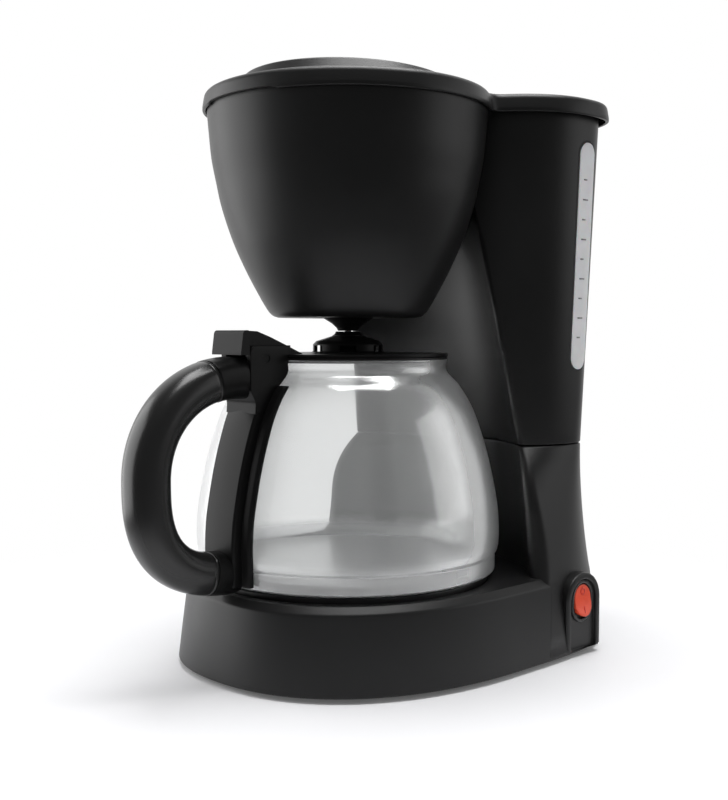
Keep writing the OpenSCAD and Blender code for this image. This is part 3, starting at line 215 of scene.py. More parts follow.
def fan(start: Array, end: float, count: int) -> Array:
    """Angles from a point's direction to an end, at even steps."""
    return np.linspace(math.atan2(start[1], start[0]), end, count)


def crossing(curve: Array, value: Array) -> tuple[Array, int]:
    """The first place where value falls below 0, and the index after it."""
    i = int(np.argmax(value < 0))
    f = value[i - 1] / (value[i - 1] - value[i])
    return curve[i - 1] * (1 - f) + curve[i] * f, i


def crescent(outer: Array, radius: float, fillet: float, counts: tuple[int, int, int]) -> Array:
    """Ring of a column: an outline behind, a circle round the axis in front, round corners.

    A corner's arc has its centre where the outline drawn in by the fillet meets the circle
    grown by it.

    Args:
        outer: right half of the outline, back to front.
        radius: radius of the hollow front.
        fillet: radius of the two upright edges.
        counts: points along the outline, the corner and the front.

    Returns:
        The closed ring.
    """
    drawn_in = outer - fillet * outward(outer)
    gap = np.linalg.norm(drawn_in, axis=1) - (radius + fillet)
    centre, i = crossing(drawn_in, gap)
    touch, _ = crossing(outer, gap)
    front = centre * radius / (radius + fillet)
    back_part = resampled(np.concatenate([outer[:i], touch[None]]), counts[0])
    corner = arc_between(touch, front, centre, counts[1])[1:-1]
    front_part = at_angles(fan(front, math.pi / 2, counts[2]), radius)
    front_part[-1, 0] = 0
    return mirrored(np.concatenate([back_part, corner, front_part]))


# ---- meshes ------------------------------------------------------------------------


class Form:
    """Closed surfaces, in millimetres, gathered into one mesh."""

    def __init__(self) -> None:
        """Starts with no surface."""
        self.points: list[Array] = []
        self.faces: list[list[int]] = []
        self.count = 0

    def _add(self, points: Array, faces: list[list[int]]) -> None:
        """Adds one closed surface, turned so that its volume is above 0."""
        middle = points.mean(0)
        fans = np.array([(f[0], f[k], f[k + 1]) for f in faces for k in range(1, len(f) - 1)])
        a, b, c = (points[fans[:, k]] - middle for k in range(3))
        if np.einsum("ij,ij->i", a, np.cross(b, c)).sum() < 0:
            faces = [f[::-1] for f in faces]
        self.points.append(points)
        self.faces += [[v + self.count for v in f] for f in faces]
        self.count += len(points)

    def loft(self, rows: Sequence[Array], loop: bool = False, caps: bool = True) -> "Form":
        """Skin over closed rings of equal length.

        Args:
            rows: the rings, in order.
            loop: joins the last ring to the first, as a tube bent into a circle.
            caps: closes both end rings with one flat face each.

        Returns:
            This form.
        """
        grid = np.asarray(rows, float)
        m, n = grid.shape[:2]
        j, i = np.meshgrid(np.arange(m if loop else m - 1), np.arange(n), indexing="ij")
        nj, ni = (j + 1) % m, (i + 1) % n
        quads = np.stack([j * n + i, j * n + ni, nj * n + ni, nj * n + i], -1).reshape(-1, 4)
        faces = quads.tolist()
        if caps and not loop:
            faces += [list(range(n))[::-1], list(range((m - 1) * n, m * n))]
        self._add(grid.reshape(-1, 3), faces)
        return self

    def turned(self, profile: Array, count: int = 160, loop: bool = True) -> "Form":
        """Surface of revolution: x = r cos a, y = r sin a, z from the profile.

        Args:
            profile: rows of radius and height.
            count: sides round the axis.
            loop: the profile is a closed line; otherwise it ends on the axis.

        Returns:
            This form.
        """
        circle = at_angles(np.linspace(0, TURN, count, endpoint=False))
        return self.loft([lifted(circle * r, z) for r, z in profile], loop=loop, caps=False)

    def object(self, name: str) -> bpy.types.Object:
        """Makes the smooth mesh object, at the origin and in metres.

        Args:
            name: the piece's name.

        Returns:
            The new object.
        """
        mesh = bpy.data.meshes.new(name)
        mesh.from_pydata((np.concatenate(self.points) * MM).tolist(), [], self.faces)
        merged(mesh, 2e-6)
        return linked(name, mesh)


def linked(name: str, data: bpy.types.ID) -> bpy.types.Object:
    """New object in the scene that shows the data."""
    piece = bpy.data.objects.new(name, data)
    bpy.context.scene.collection.objects.link(piece)
    return piece


def merged(mesh: bpy.types.Mesh, distance: float, flat: float = 0.0) -> None:
    """Merges a mesh's doubled points and shades it smooth.

    Args:
        mesh: the mesh.
        distance: points closer than this, in metres, become one.
        flat: where above 0, faces that meet at less than this angle become one too.
    """
    work = bmesh.new()
    work.from_mesh(mesh)
    bmesh.ops.remove_doubles(work, verts=work.verts, dist=distance)
    if flat > 0:
        bmesh.ops.dissolve_limit(work, angle_limit=flat, verts=work.verts, edges=work.edges)
    else:
        bmesh.ops.dissolve_degenerate(work, edges=work.edges, dist=distance / 2)
    work.to_mesh(mesh)
    work.free()
    mesh.polygons.foreach_set("use_smooth", np.ones(len(mesh.polygons), bool))
    mesh.update()


def across_x(outline: Array, x: float) -> Array:
    """A (y, z) outline as points at x."""
    return np.column_stack([np.full(len(outline), x), outline])


def soften(piece: bpy.types.Object, width: float, angle: float = 32, segments: int = 3) -> None:
    """Rounds a piece's sharp edges and keeps its flat faces flat.

    Args:
        piece: the object.
        width: width of the rounding in millimetres, or 0 for none.
        angle: edges that turn more than this are rounded.
        segments: faces across the rounding.
    """
    if width > 0:
        bevel = piece.modifiers.new("rounding", "BEVEL")
        bevel.width = width * MM
        bevel.segments = segments
        bevel.limit_method = "ANGLE"
        bevel.angle_limit = math.radians(angle)
        bevel.use_clamp_overlap = True
        bevel.harden_normals = False
    even = piece.modifiers.new("flat_faces", "WEIGHTED_NORMAL")
    even.keep_sharp = True


def polished(node: str, name: str, angle: float = 30) -> bpy.types.Object:
    """Smooth copy of a solid: its triangles merged, sharp only where faces turn by more.

    Args:
        node: the solid's node.
        name: the new piece's name.
        angle: edges that turn more than this stay sharp.

    Returns:
        The new object.
    """
    mesh = frame["nodes"][node].data.copy()
    mesh.name = name
    mesh.materials.clear()
    merged(mesh, 1e-6, flat=0.003)
    mesh.set_sharp_from_angle(angle=math.radians(angle))
    return linked(name, mesh)


# ---- finishes ----------------------------------------------------------------------


class Tree:
    """Shader tree that is built by short calls."""

    def __init__(self, owner: bpy.types.Material | bpy.types.World) -> None:
        """Takes up the tree of a material or of the world."""
        owner.use_nodes = True
        self.nodes, self.links = owner.node_tree.nodes, owner.node_tree.links

    def feed(self, node: bpy.types.Node, inputs: dict[str | int, object]) -> bpy.types.Node:
        """Gives each input a constant, or links it to another node's output."""
        for key, value in inputs.items():
            if isinstance(value, bpy.types.NodeSocket):
                self.links.new(value, node.inputs[key])
            else:
                node.inputs[key].default_value = value
        return node

    def add(self, kind: str, inputs: dict[str | int, object] | None = None,
            **settings: object) -> bpy.types.NodeOutputs:
        """Adds a node.

        Args:
            kind: the node's type, without its prefix.
            inputs: what its inputs get.
            settings: its other properties.

        Returns:
            Its outputs.
        """
        node = self.nodes.new("ShaderNode" + kind)
        for key, value in settings.items():
            setattr(node, key, value)
        return self.feed(node, inputs or {}).outputs

    def remap(self, value: bpy.types.NodeSocket, span: Pair, result: Pair = (0.0, 1.0),
              soft: bool = False) -> bpy.types.NodeSocket:
        """Maps a span of values onto another.

        Args:
            value: output that gives the value.
            span: limits of the value.
            result: what the limits become.
            soft: eases both ends, as 3t^2 - 2t^3 does.

        Returns:
            The output with the mapped value.
        """
        limits = zip(("From Min", "From Max", "To Min", "To Max"), (*span, *result))
        curve = "SMOOTHSTEP" if soft else "LINEAR"
        return self.add("MapRange", {"Value": value, **dict(limits)},
                        interpolation_type=curve)["Result"]

    def raised(self, height: bpy.types.NodeSocket, strength: float,
               distance: float) -> bpy.types.NodeSocket:
        """Bump of a surface.

        Args:
            height: output that gives the height, from 0 to 1.
            strength: share of the bump that shows.
            distance: height of the bump in metres.

        Returns:
            The output with the normal.
        """
        inputs = {"Height": height, "Strength": strength, "Distance": distance}
        return self.add("Bump", inputs)["Normal"]


class Grain(Enum):
    """How a finish's fine relief runs."""

    EVEN = (1.0, 1.0, 1.0)
    ALONG_X = (0.05, 1.0, 1.0)


@dataclass(frozen=True)
class Finish:
    """A solid finish: two tones, two roughnesses and a fine relief, mixed by noise."""

    name: str
    tones: tuple[Triple, Triple]
    roughness: Pair
    cloud: float = 35.0
    tone_span: Pair = (0.35, 0.65)
    cloud_span: Pair = (0.3, 0.7)
    relief: float = 0.08
    relief_scale: float = 2600.0
    relief_height: float = 0.0002
    metallic: float = 0.0
    specular: float = 0.5
    coat: float = 0.0
    coat_roughness: float = 0.05
    transmission: float = 0.0
    subsurface: float = 0.0
    subsurface_scale: float = 0.002
    grain: Grain = Grain.EVEN

    def material(self) -> bpy.types.Material:
        """Builds the material on Object coordinates.

        Broad noise picks the tone and the roughness, fine noise lifts the surface.

        Returns:
            The material, made once for each name.
        """
        made = bpy.data.materials.get(self.name)
        if made:
            return made
        made = bpy.data.materials.new(self.name)
        tree = Tree(made)
        place = tree.add("TexCoord")["Object"]
        cloud = tree.add("TexNoise", {"Vector": place, "Scale": self.cloud, "Detail": 5})["Fac"]
        tone = tree.nodes.new("ShaderNodeValToRGB")
        for stop, position, colour in zip(tone.color_ramp.elements, self.tone_span, self.tones):
            stop.position, stop.color = position, (*colour, 1)
        stretch = tree.add("Mapping", {"Vector": place, "Scale": self.grain.value})["Vector"]
        fine = tree.add("TexNoise", {"Vector": stretch, "Scale": self.relief_scale,
                                     "Detail": 3})["Fac"]
        tree.feed(tone, {"Fac": cloud})
        tree.feed(tree.nodes["Principled BSDF"], {
            "Base Color": tone.outputs["Color"],
            "Roughness": tree.remap(cloud, self.cloud_span, self.roughness),
            "Normal": tree.raised(fine, self.relief, self.relief_height),
            "Metallic": self.metallic,
            "Specular IOR Level": self.specular,
            "Coat Weight": self.coat,
            "Coat Roughness": self.coat_roughness,
            "Transmission Weight": self.transmission,
            "Subsurface Weight": self.subsurface,
            "Subsurface Scale": self.subsurface_scale,
        })
        return made


def grey(low: float, high: float) -> tuple[Triple, Triple]:
    """Two neutral tones."""
    return (low, low, low * 1.02), (high, high, high * 1.02)


class Finishes(Enum):
    """Every finish on the machine."""

    SATIN_BLACK = Finish("satin_black", grey(0.0085, 0.0115), (0.38, 0.43), cloud=18,
                         relief=0.12, relief_scale=3200, specular=0.4)
    GLOSS_BLACK = Finish("gloss_black", grey(0.004, 0.006), (0.10, 0.15), cloud=40,
                         relief=0.02, coat=0.6, coat_roughness=0.06)
    # darker, less glossy copy of the satin black for the handle frame and the jug's lid: painted
    # shade, so they render darker than the body's plastic
    FRAME_BLACK_PAINTED_SHADE = Finish("frame_black_painted_shade", grey(0.006, 0.008), (0.30, 0.36), cloud=24,
                         relief=0.08, relief_scale=3200, specular=0.16)
    PLATE_BLACK = Finish("plate_black", grey(0.010, 0.016), (0.28, 0.36), cloud=60,
                         relief=0.2, relief_scale=4200)
    SWITCH_RED = Finish("switch_red", ((0.98, 0.010, 0.003), (1.0, 0.018, 0.005)),
                        (0.30, 0.38), cloud=90, relief=0.03, specular=0.14, coat=0.04,
                        subsurface=0.1)
    MARK_RED = Finish("mark_red", ((0.62, 0.010, 0.004), (0.66, 0.014, 0.006)), (0.3, 0.4),
                      cloud=300, relief=0.02)
    MILKY_WINDOW = Finish("milky_window", grey(0.84, 0.90), (0.28, 0.38), cloud=120,
                          relief=0.05, subsurface=0.2)
    TICK_GREY = Finish("tick_grey", grey(0.20, 0.26), (0.4, 0.5), cloud=200)
    BLACK_RUBBER = Finish("black_rubber", grey(0.018, 0.028), (0.62, 0.75), cloud=80,
                          relief=0.35, relief_scale=1800)
    RED_SILICONE = Finish("red_silicone", ((0.30, 0.045, 0.02), (0.36, 0.06, 0.03)),
                          (0.45, 0.55), cloud=90, subsurface=0.2)
    CLEAR_SILICONE = Finish("clear_silicone", grey(0.62, 0.70), (0.35, 0.45), cloud=70,
                            subsurface=0.3, transmission=0.25)
    STEEL = Finish("zinc_steel", grey(0.50, 0.60), (0.24, 0.36), cloud=110, relief=0.15,
                   metallic=1.0, grain=Grain.ALONG_X)
    CAST_ALUMINIUM = Finish("cast_aluminium", grey(0.42, 0.52), (0.42, 0.56), cloud=140,
                            relief=0.6, relief_scale=900, metallic=1.0)
    CERAMIC = Finish("ceramic_cream", ((0.62, 0.58, 0.48), (0.68, 0.64, 0.54)), (0.5, 0.6),
                     cloud=160, relief=0.2)
    WHITE_NYLON = Finish("white_nylon", ((0.70, 0.68, 0.60), (0.75, 0.73, 0.66)), (0.4, 0.5),
                         cloud=60, subsurface=0.2)
    WIRE_SLEEVE = Finish("wire_sleeve", grey(0.50, 0.62), (0.6, 0.75), cloud=500, relief=0.5,
                         relief_scale=1400)

    def put(self, piece: bpy.types.Object) -> None:
        """Gives a piece this finish alone."""
        piece.data.materials.clear()
        piece.data.materials.append(self.value.material())


BY_SLOT: dict[str, Finishes] = {
    "black_plastic": Finishes.SATIN_BLACK, "gloss_black": Finishes.GLOSS_BLACK,
    "switch_red": Finishes.SWITCH_RED, "window_clear": Finishes.MILKY_WINDOW,
    "black_rubber": Finishes.BLACK_RUBBER, "red_silicone": Finishes.RED_SILICONE,
    "clear_silicone": Finishes.CLEAR_SILICONE, "steel": Finishes.STEEL,
    "black_enamel": Finishes.PLATE_BLACK, "cast_aluminium": Finishes.CAST_ALUMINIUM,
    "ceramic": Finishes.CERAMIC, "white_plastic": Finishes.WHITE_NYLON,
    "wire_cover": Finishes.WIRE_SLEEVE,
}


@dataclass(frozen=True)
class ClearGlass:
    """Clear glass with a faint wave in its surface, a bright sheen at glancing angles, and a share
    of painted white that is larger at its foot.
    """

    name: str = "jug_glass_clear"
    tint: Triple = (0.985, 0.992, 0.992)
    index: float = 1.47
    wave: float = 0.04
    wave_scale: float = 28.0
    wave_height: float = 0.002
    sheen: Triple = (0.04, 0.55, 0.45)
    frost: Pair = (0.0, 0.30)
    # clear share at the foot and above; the rest is white diffuse, painted brightness standing in
    # for the white surround seen through the glass, strongest at the foot
    clear: Pair = (0.62, 0.90)
    foot_z: Pair = (0.0440, 0.0500)

    def material(self) -> bpy.types.Material:
        """Builds the glass.

        Noise gives it a slight wave. A share of it is white diffuse instead of clear, larger at
        its foot, which is painted paler: painted brightness that stands in for the white surround
        seen through the glass. The more a face turns away, the more it mirrors what lies around,
        and the softer that reflection is.

        Returns:
            The new material.
        """
        made = bpy.data.materials.new(self.name)
        tree = Tree(made)
        place = tree.add("TexCoord")["Object"]
        height = tree.add("SeparateXYZ", {0: place})["Z"]
        noise = tree.add("TexNoise", {"Vector": place, "Scale": self.wave_scale,
                                      "Detail": 1})["Fac"]
        facing = tree.add("LayerWeight", {"Blend": 0.5})["Facing"]
        low, high, most = self.sheen
        tree.feed(tree.nodes["Principled BSDF"], {
            "Base Color": (*self.tint, 1),
            "IOR": self.index,
            # less clear towards the foot: the white diffuse share there is painted brightness
            "Transmission Weight": tree.remap(height, self.foot_z, self.clear, soft=True),
            "Normal": tree.raised(noise, self.wave, self.wave_height),
            "Metallic": tree.remap(facing, (low, high), (0.0, most), soft=True),
            "Roughness": tree.remap(facing, (0.0, 0.5), self.frost),
        })
        return made


def dress(piece: bpy.types.Object, body: str, slot: str, *stands_for: str,
          finish: Finishes | None = None) -> None:
    """Puts a new piece on its body.

    Args:
        piece: the object.
        body: the CAD body that it rides on.
        slot: the record's material slot, whose finish the piece gets.
        stands_for: the nodes that it replaces.
        finish: the piece's own finish, in place of the slot's.
    """
    finish = finish or BY_SLOT.get(slot)
    if finish:
        finish.put(piece)
    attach(piece, body)
    if stands_for:
        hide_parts(*stands_for)
    LOG.info("%s rides on %s, %d faces", piece.name, body, len(piece.data.polygons))


# ---- base --------------------------------------------------------------------------

LIP_Z, SEAM_Z, LID_LOW_Z = 35.5, 90.0, 231.3
HOLLOW_R = (78.0, 73.6)
HOLLOW_LEAN = 0.19
TANK_INSET, TANK_LEAN = 4.2, 0.044


def tank_inset(z: float | Array) -> float | Array:
    """Distance of the tank's wall inside the lid's egg, growing evenly downwards."""
    return TANK_INSET + (LID_LOW_Z - z) * TANK_LEAN


def star_ring(guide: Array, radius: float) -> Array:
    """Circle whose points lie in the same directions as a guide ring's."""
    return guide / np.linalg.norm(guide, axis=1)[:, None] * radius


def hollow_radius(z: float | Array) -> Array:
    """Radius of the column's hollow front: straight to the seam, then leaning forward."""
    z = np.asarray(z)
    low = np.interp(z, (LIP_Z, SEAM_Z), HOLLOW_R)
    return np.where(z < SEAM_Z, low, HOLLOW_R[1] - HOLLOW_LEAN * (z - SEAM_Z))


@dataclass
class BaseUnit:
    """Base with its deck, the foot of the column and the hot plate."""

    foot_z: float = 2.0
    shoulder_z: float = 32.7
    lip_z: float = LIP_Z
    deck_z: float = 33.3
    seam_z: float = SEAM_Z
    lean: float = 0.12
    wall: float = 2.2
    bevel: float = 2.6
    lip_in: float = 8.2
    recess_r: float = 61.2
    hole_r: float = 52.0
    plate: Triple = (60.0, 34.3, 37.5)  # radius, lower edge and top
    plate_sheet: float = 1.2
    plate_ring: Triple = (51.2, 1.2, 0.25)  # radius, half width and depth
    half_count: int = 121
    edge_radius: Pair = (5.2, 3.2)  # of the column's upright edges, low and high
    edge_z: Pair = (42.0, 84.0)
    flare: float = 0.9
    proud: float = 0.05
    counts: tuple[int, int, int] = (110, 9, 46)
    wall_levels: tuple[float, ...] = (3.0, 3.4, 10.0, 17.0, 24.0, 29.0)
    foot_levels: tuple[float, ...] = (3.4, 12.0, 22.0, 30.0)
    pocket: Triple = (70.0, 9.6, 72.2)  # middle y, half width and x
    pocket_z: Pair = (3.2, 32.0)

    def pocketed(self, points: Array) -> Array:
        """Sinks the wall where the switch's surround covers it: x held below a limit."""
        x, y, z = points.T
        middle, half, limit = self.pocket
        low, high = self.pocket_z
        behind = (np.abs(y - middle) < half) & (z > low) & (z < high) & (x > limit - 2)
        return np.column_stack([np.where(behind, np.minimum(x, limit), x), y, z])

    def outline(self, z: float, inset: float = 0.0) -> Array:
        """Right half of the wall's outline at a height.

        Below the shoulder it is the base's egg; above, the two eggs mixed by k^flare.

        Args:
            z: height.
            inset: distance that the outline is drawn in by.

        Returns:
            The points, back to front.
        """
        if z <= self.shoulder_z:
            return BASE_EGG.half(self.lean * z - self.proud + inset)
        k = ((z - self.shoulder_z) / (self.seam_z - self.shoulder_z)) ** self.flare
        low = BASE_EGG.half(self.lean * self.shoulder_z - self.proud + inset)
        high = TANK_EGG.half(tank_inset(self.seam_z) + inset)
        return low * (1 - k) + high * k

    def shell(self) -> bpy.types.Object:
        """Base shell: egg rings up the wall and over the lip, circles into the recess."""
        inner, deck_low = self.foot_z * self.lean + self.wall, self.deck_z - 2
        wall = rounded(
            [(deck_low * self.lean + self.wall, deck_low), (inner, self.foot_z),
             (self.foot_z * self.lean, self.foot_z),
             *[(z * self.lean, z) for z in self.wall_levels],
             (self.shoulder_z * self.lean, self.shoulder_z),
             (self.lip_z * self.lean + self.bevel, self.lip_z), (self.lip_in, self.lip_z)],
            [0, 0.4, 0.6, *[0] * len(self.wall_levels), 2.2, 0.9, 0], 6)
        rows = [self.pocketed(lifted(mirrored(resampled(BASE_EGG.half(d), self.half_count)), z))
                for d, z in wall]
        deck = rounded(
            [(self.recess_r + 1.4, self.lip_z), (self.recess_r, self.lip_z),
             (self.recess_r, self.deck_z), (self.hole_r, self.deck_z), (self.hole_r, deck_low),
             (self.hole_r + 2, deck_low)],
            [0, 0.7, 0.4, 0.4, 0.3, 0], 5)
        guide = rows[0][:, :2]
        rows += [lifted(star_ring(guide, r), z) for r, z in deck]
        return self.column(Form().loft(rows, loop=True)).object("base_housing")

    def column(self, form: Form) -> Form:
        """Adds the column's foot, from inside the base up to the seam."""
        top_z = self.edge_z[1]
        top = rounded([(0, top_z), (0, self.seam_z), (3, self.seam_z)], [0, 0.7, 0], 5)
        upright = np.linspace(self.shoulder_z, top_z, 26)[:-1]
        rows = []
        low, high = self.edge_radius
        for d, z in [*((0.0, z) for z in (*self.foot_levels, *upright)), *top]:
            fillet = low + (high - low) * float(soft_step(z, *self.edge_z))
            ring = crescent(self.outline(z, d), float(hollow_radius(z)) + d, fillet, self.counts)
            rows.append(self.pocketed(lifted(ring, z)))
        return form.loft(rows)

    def hot_plate(self) -> bpy.types.Object:
        """Hot plate: a shallow dish turned over, with a pressed ring near its edge."""
        edge, low, top = self.plate
        inner, under = edge - self.plate_sheet, top - self.plate_sheet
        ring_r, half, depth = self.plate_ring
        profile = rounded(
            [(0, top), (ring_r - half, top), (ring_r, top - depth), (ring_r + half, top),
             (edge, top), (edge, low), (inner, low), (inner, under), (0, under)],
            [0, 0.6, 0.8, 0.6, 0.9, 0.2, 0.2, 0.5, 0], 5)
        return Form().turned(profile, loop=False).object("hot_plate_disc")

    def build(self) -> None:
        """Makes the pieces and puts them on the machine."""
        dress(self.shell(), "machine", "black_plastic", "base_shell", "column_foot")
        plate = self.hot_plate()
        soften(plate, 0)
        dress(plate, "machine", "black_enamel", "warming_plate")


# ---- tank and bowl -----------------------------------------------------------------

BOWL_CURVE = spline([(30.0, 145.5), (32.2, 146.4), (34.4, 148.8), (38.3, 155.5), (43.5, 165.5),
                     (48.8, 177.5), (53.4, 191.5), (55.8, 202.5), (57.6, 212.0), (58.6, 222.0),
                     (59.4, 231.3)], 5)


@dataclass
class TankUnit:
    """Upper housing: the water tank behind and the brew bowl in front."""

    low_z: float = 90.4
    under_z: float = 95.8
    floor_z: float = 98.0
    rim_z: float = 234.0
    plain_z: Pair = (96.0, 226.0)
    wall: float = 2.2
    edge_radius: float = 3.2
    merge_z: Pair = (176.0, 196.0)  # where the tank's front closes on the bowl
    drain_r: float = 11.0
    bowl_floor: float = 2.4
    bowl_inside_z: float = 150.0
    hinge: Pair = (104.7, 229.0)
    ear_r: float = 3.8
    ear_x: Pair = (38.0, 43.0)
    notch: Pair = (37.8, 224.0)  # half width and level
    tube_notch: Triple = (-38.0, 5.0, 223.0)  # x, half width and level
    open_z: float = 400.0
    counts: tuple[int, int, int] = (110, 9, 46)

    def front(self, z: float) -> float:
        """Radius of the tank's front: the hollow's, or the middle of the bowl's wall."""
        bowl = float(np.interp(z, BOWL_CURVE[:, 1], BOWL_CURVE[:, 0]))
        return max(float(hollow_radius(z)), bowl - self.wall / 2)

    def ring(self, depth: float, z: float) -> Array:
        """Ring of the tank's wall, a depth inside its outer face."""
        share = float(soft_step(z, *self.merge_z))
        fillet = (self.edge_radius * (1 - share) + 0.5 * share) * (1 - 0.6 * depth / self.wall)
        outer = TANK_EGG.half(tank_inset(z) + depth)
        ring = crescent(outer, self.front(z) + depth, fillet, self.counts)
        return self.notched(lifted(ring, z))

    def notched(self, points: Array) -> Array:
        """Lowers the rim behind, where the lid's hinge lies, and where the riser crosses it."""
        x, y, z = points.T
        half_w, behind_z = self.notch
        side, half, tube_z = self.tube_notch
        behind = (1 - soft_step(np.abs(x), half_w - 0.6, half_w + 0.2)) * (y > 90)
        tube = (1 - soft_step(np.abs(x - side), half - 0.4, half + 0.4)) * (y > 30) * (y < 66)
        limit = np.minimum(*(self.open_z - (self.open_z - low) * share
                             for low, share in ((behind_z, behind), (tube_z, tube))))
        return np.column_stack([x, y, np.minimum(z, limit)])

    def tank(self, form: Form) -> Form:
        """Adds the tank: up the outside, over the rim, down to the floor."""
        start, end = self.plain_z
        low = rounded([(self.wall, self.under_z), (self.wall, self.low_z), (0, self.low_z),
                       (0, start)], [0, 0.3, 0.7, 0], 5)
        rim = rounded([(0, end), (0, self.rim_z), (self.wall, self.rim_z), (self.wall, end)],
                      [0, 0.5, 0.5, 0], 4)
        wall_z = np.linspace(start, end, 54)
        levels = [*low, *((0.0, z) for z in wall_z[1:-1]), *rim,
                  *((self.wall, z) for z in wall_z[-2::-1]), (self.wall, self.floor_z - 0.1)]
        return form.loft([self.ring(d, z) for d, z in levels])

    def bowl(self, form: Form) -> Form:
        """Adds the brew bowl: its curve turned, out and over the rim and back inside."""
        inside = BOWL_CURVE[BOWL_CURVE[:, 1] > self.bowl_inside_z][::-1] - (self.wall, 0)
        low, rim_r = BOWL_CURVE[0, 1], BOWL_CURVE[-1, 0]
        floor = low + self.bowl_floor
        line = np.concatenate([[(self.drain_r, low), (24.0, low)], BOWL_CURVE,
                               [(rim_r, self.rim_z), (rim_r - self.wall, self.rim_z)], inside,
                               [(28.6, floor), (self.drain_r, floor)]])
        radii = np.zeros(len(line))
        radii[2], rim = 1.2, 2 + len(BOWL_CURVE)
        radii[rim:rim + 2] = 0.6
        radii[-2] = 1.5
        profile = rounded(line, radii, 5)
        circle = at_angles(np.linspace(0, TURN, 200, endpoint=False))
        return form.loft([self.notched(lifted(circle * r, z)) for r, z in profile], loop=True)

    def ears(self, form: Form) -> Form:
        """Adds the two ears that hold the hinge pin: a round end on a short stem."""
        y, z = self.hinge
        angle = np.radians(np.linspace(-115, 180, 26))
        arc = at_angles(angle, self.ear_r) + self.hinge
        outline = np.concatenate([[(y - self.ear_r, z - 12), (y - 1.6, z - 12)], arc])
        for side in (-1, 1):
            form.loft([across_x(outline, side * x) for x in self.ear_x])
        return form

    def build(self) -> None:
        """Makes the housing and puts it on the machine."""
        form = self.ears(self.bowl(self.tank(Form())))
        dress(form.object("tank_housing"), "machine", "black_plastic", "upper_housing",
              "brew_bowl")


@dataclass
class Gauge:
    """Water window on the tank's side, its seal and its ticks."""

    y: float = 80.0
    z: Pair = (123.0, 221.0)
    half_w: float = 5.5
    ticks: int = 9
    tick: Pair = (-2.6, 0.28)  # start beside the middle line, half thickness
    tick_lengths: Pair = (2.2, 3.4)
    tick_depth: Pair = (0.3, 0.66)

    def wall_x(self, y: Array, z: Array) -> Array:
        """The tank's side: its half width times (1 - |dy / length|^n)^(1/n)."""
        inset = tank_inset(z)
        length = np.where(y > TANK_EGG.mid_y, TANK_EGG.back, TANK_EGG.nose) - inset
        n = np.where(y > TANK_EGG.mid_y, TANK_EGG.n_back, TANK_EGG.n_front)
        share = 1 - np.abs((y - TANK_EGG.mid_y) / length) ** n
        return (TANK_EGG.half_w - inset) * share ** (1 / n)

    def slot(self, grow: float, count: int = 24) -> Array:
        """Upright slot with round ends, grown by a distance."""
        r = self.half_w + grow
        cap = at_angles(np.linspace(0, math.pi, count), r)
        low, high = self.z[0] + self.half_w, self.z[1] - self.half_w
        side = np.linspace(high, low, 30)[1:-1, None] * np.array([[0, 1]])
        left = side + np.array([[-r, 0]])
        right = side[::-1] + np.array([[r, 0]])
        ring = np.concatenate([cap + (0, high), left, -cap + (0, low), right])
        return ring + (self.y, 0)

    def on_wall(self, ring: Array, height: float | Array) -> Array:
        """Points of a (y, z) line a height off the tank's wall."""
        return np.column_stack([self.wall_x(ring[:, 0], ring[:, 1]) + height, ring])

    def window(self) -> bpy.types.Object:
        """Milky strip: slots drawn in towards their middle line, lifted to a soft crown."""
        steps = rounded([(0, -1.9), (0, 0.35), (1.2, 0.45), (5.45, 0.55)], [0, 0.3, 0.8, 0], 5)
        rows = [self.on_wall(self.slot(-d), h) for d, h in steps]
        return Form().loft(rows).object("water_window_strip")

    def seal(self) -> bpy.types.Object:
        """Dark line round the strip."""
        steps = rounded([(0.02, -1.5), (1.1, -1.5), (1.1, 0.12), (0.02, 0.12)],
                        [0, 0, 0.3, 0], 4)
        rows = [self.on_wall(self.slot(d), h) for d, h in steps]
        return Form().loft(rows, loop=True).object("window_seal_ring")

    def marks(self) -> bpy.types.Object:
        """Ticks printed on the strip, every second one longer."""
        form = Form()
        start, half = self.tick
        for i, z in enumerate(np.linspace(self.z[0] + 14, self.z[1] - 16, self.ticks)):
            end = start + self.tick_lengths[i % 2]
            outline = np.array([(start, -half), (end, -half), (end, half), (start, half)])
            form.loft([self.on_wall(outline + (self.y, z), h) for h in self.tick_depth])
        return form.object("window_ticks")

    def build(self) -> None:
        """Makes the pieces and puts them on the machine."""
        dress(self.window(), "machine", "window_clear", "water_window")
        dress(self.seal(), "machine", "black_rubber", "window_seal")
        dress(self.marks(), "machine", "window_clear", finish=Finishes.TICK_GREY)


# ---- lid ---------------------------------------------------------------------------


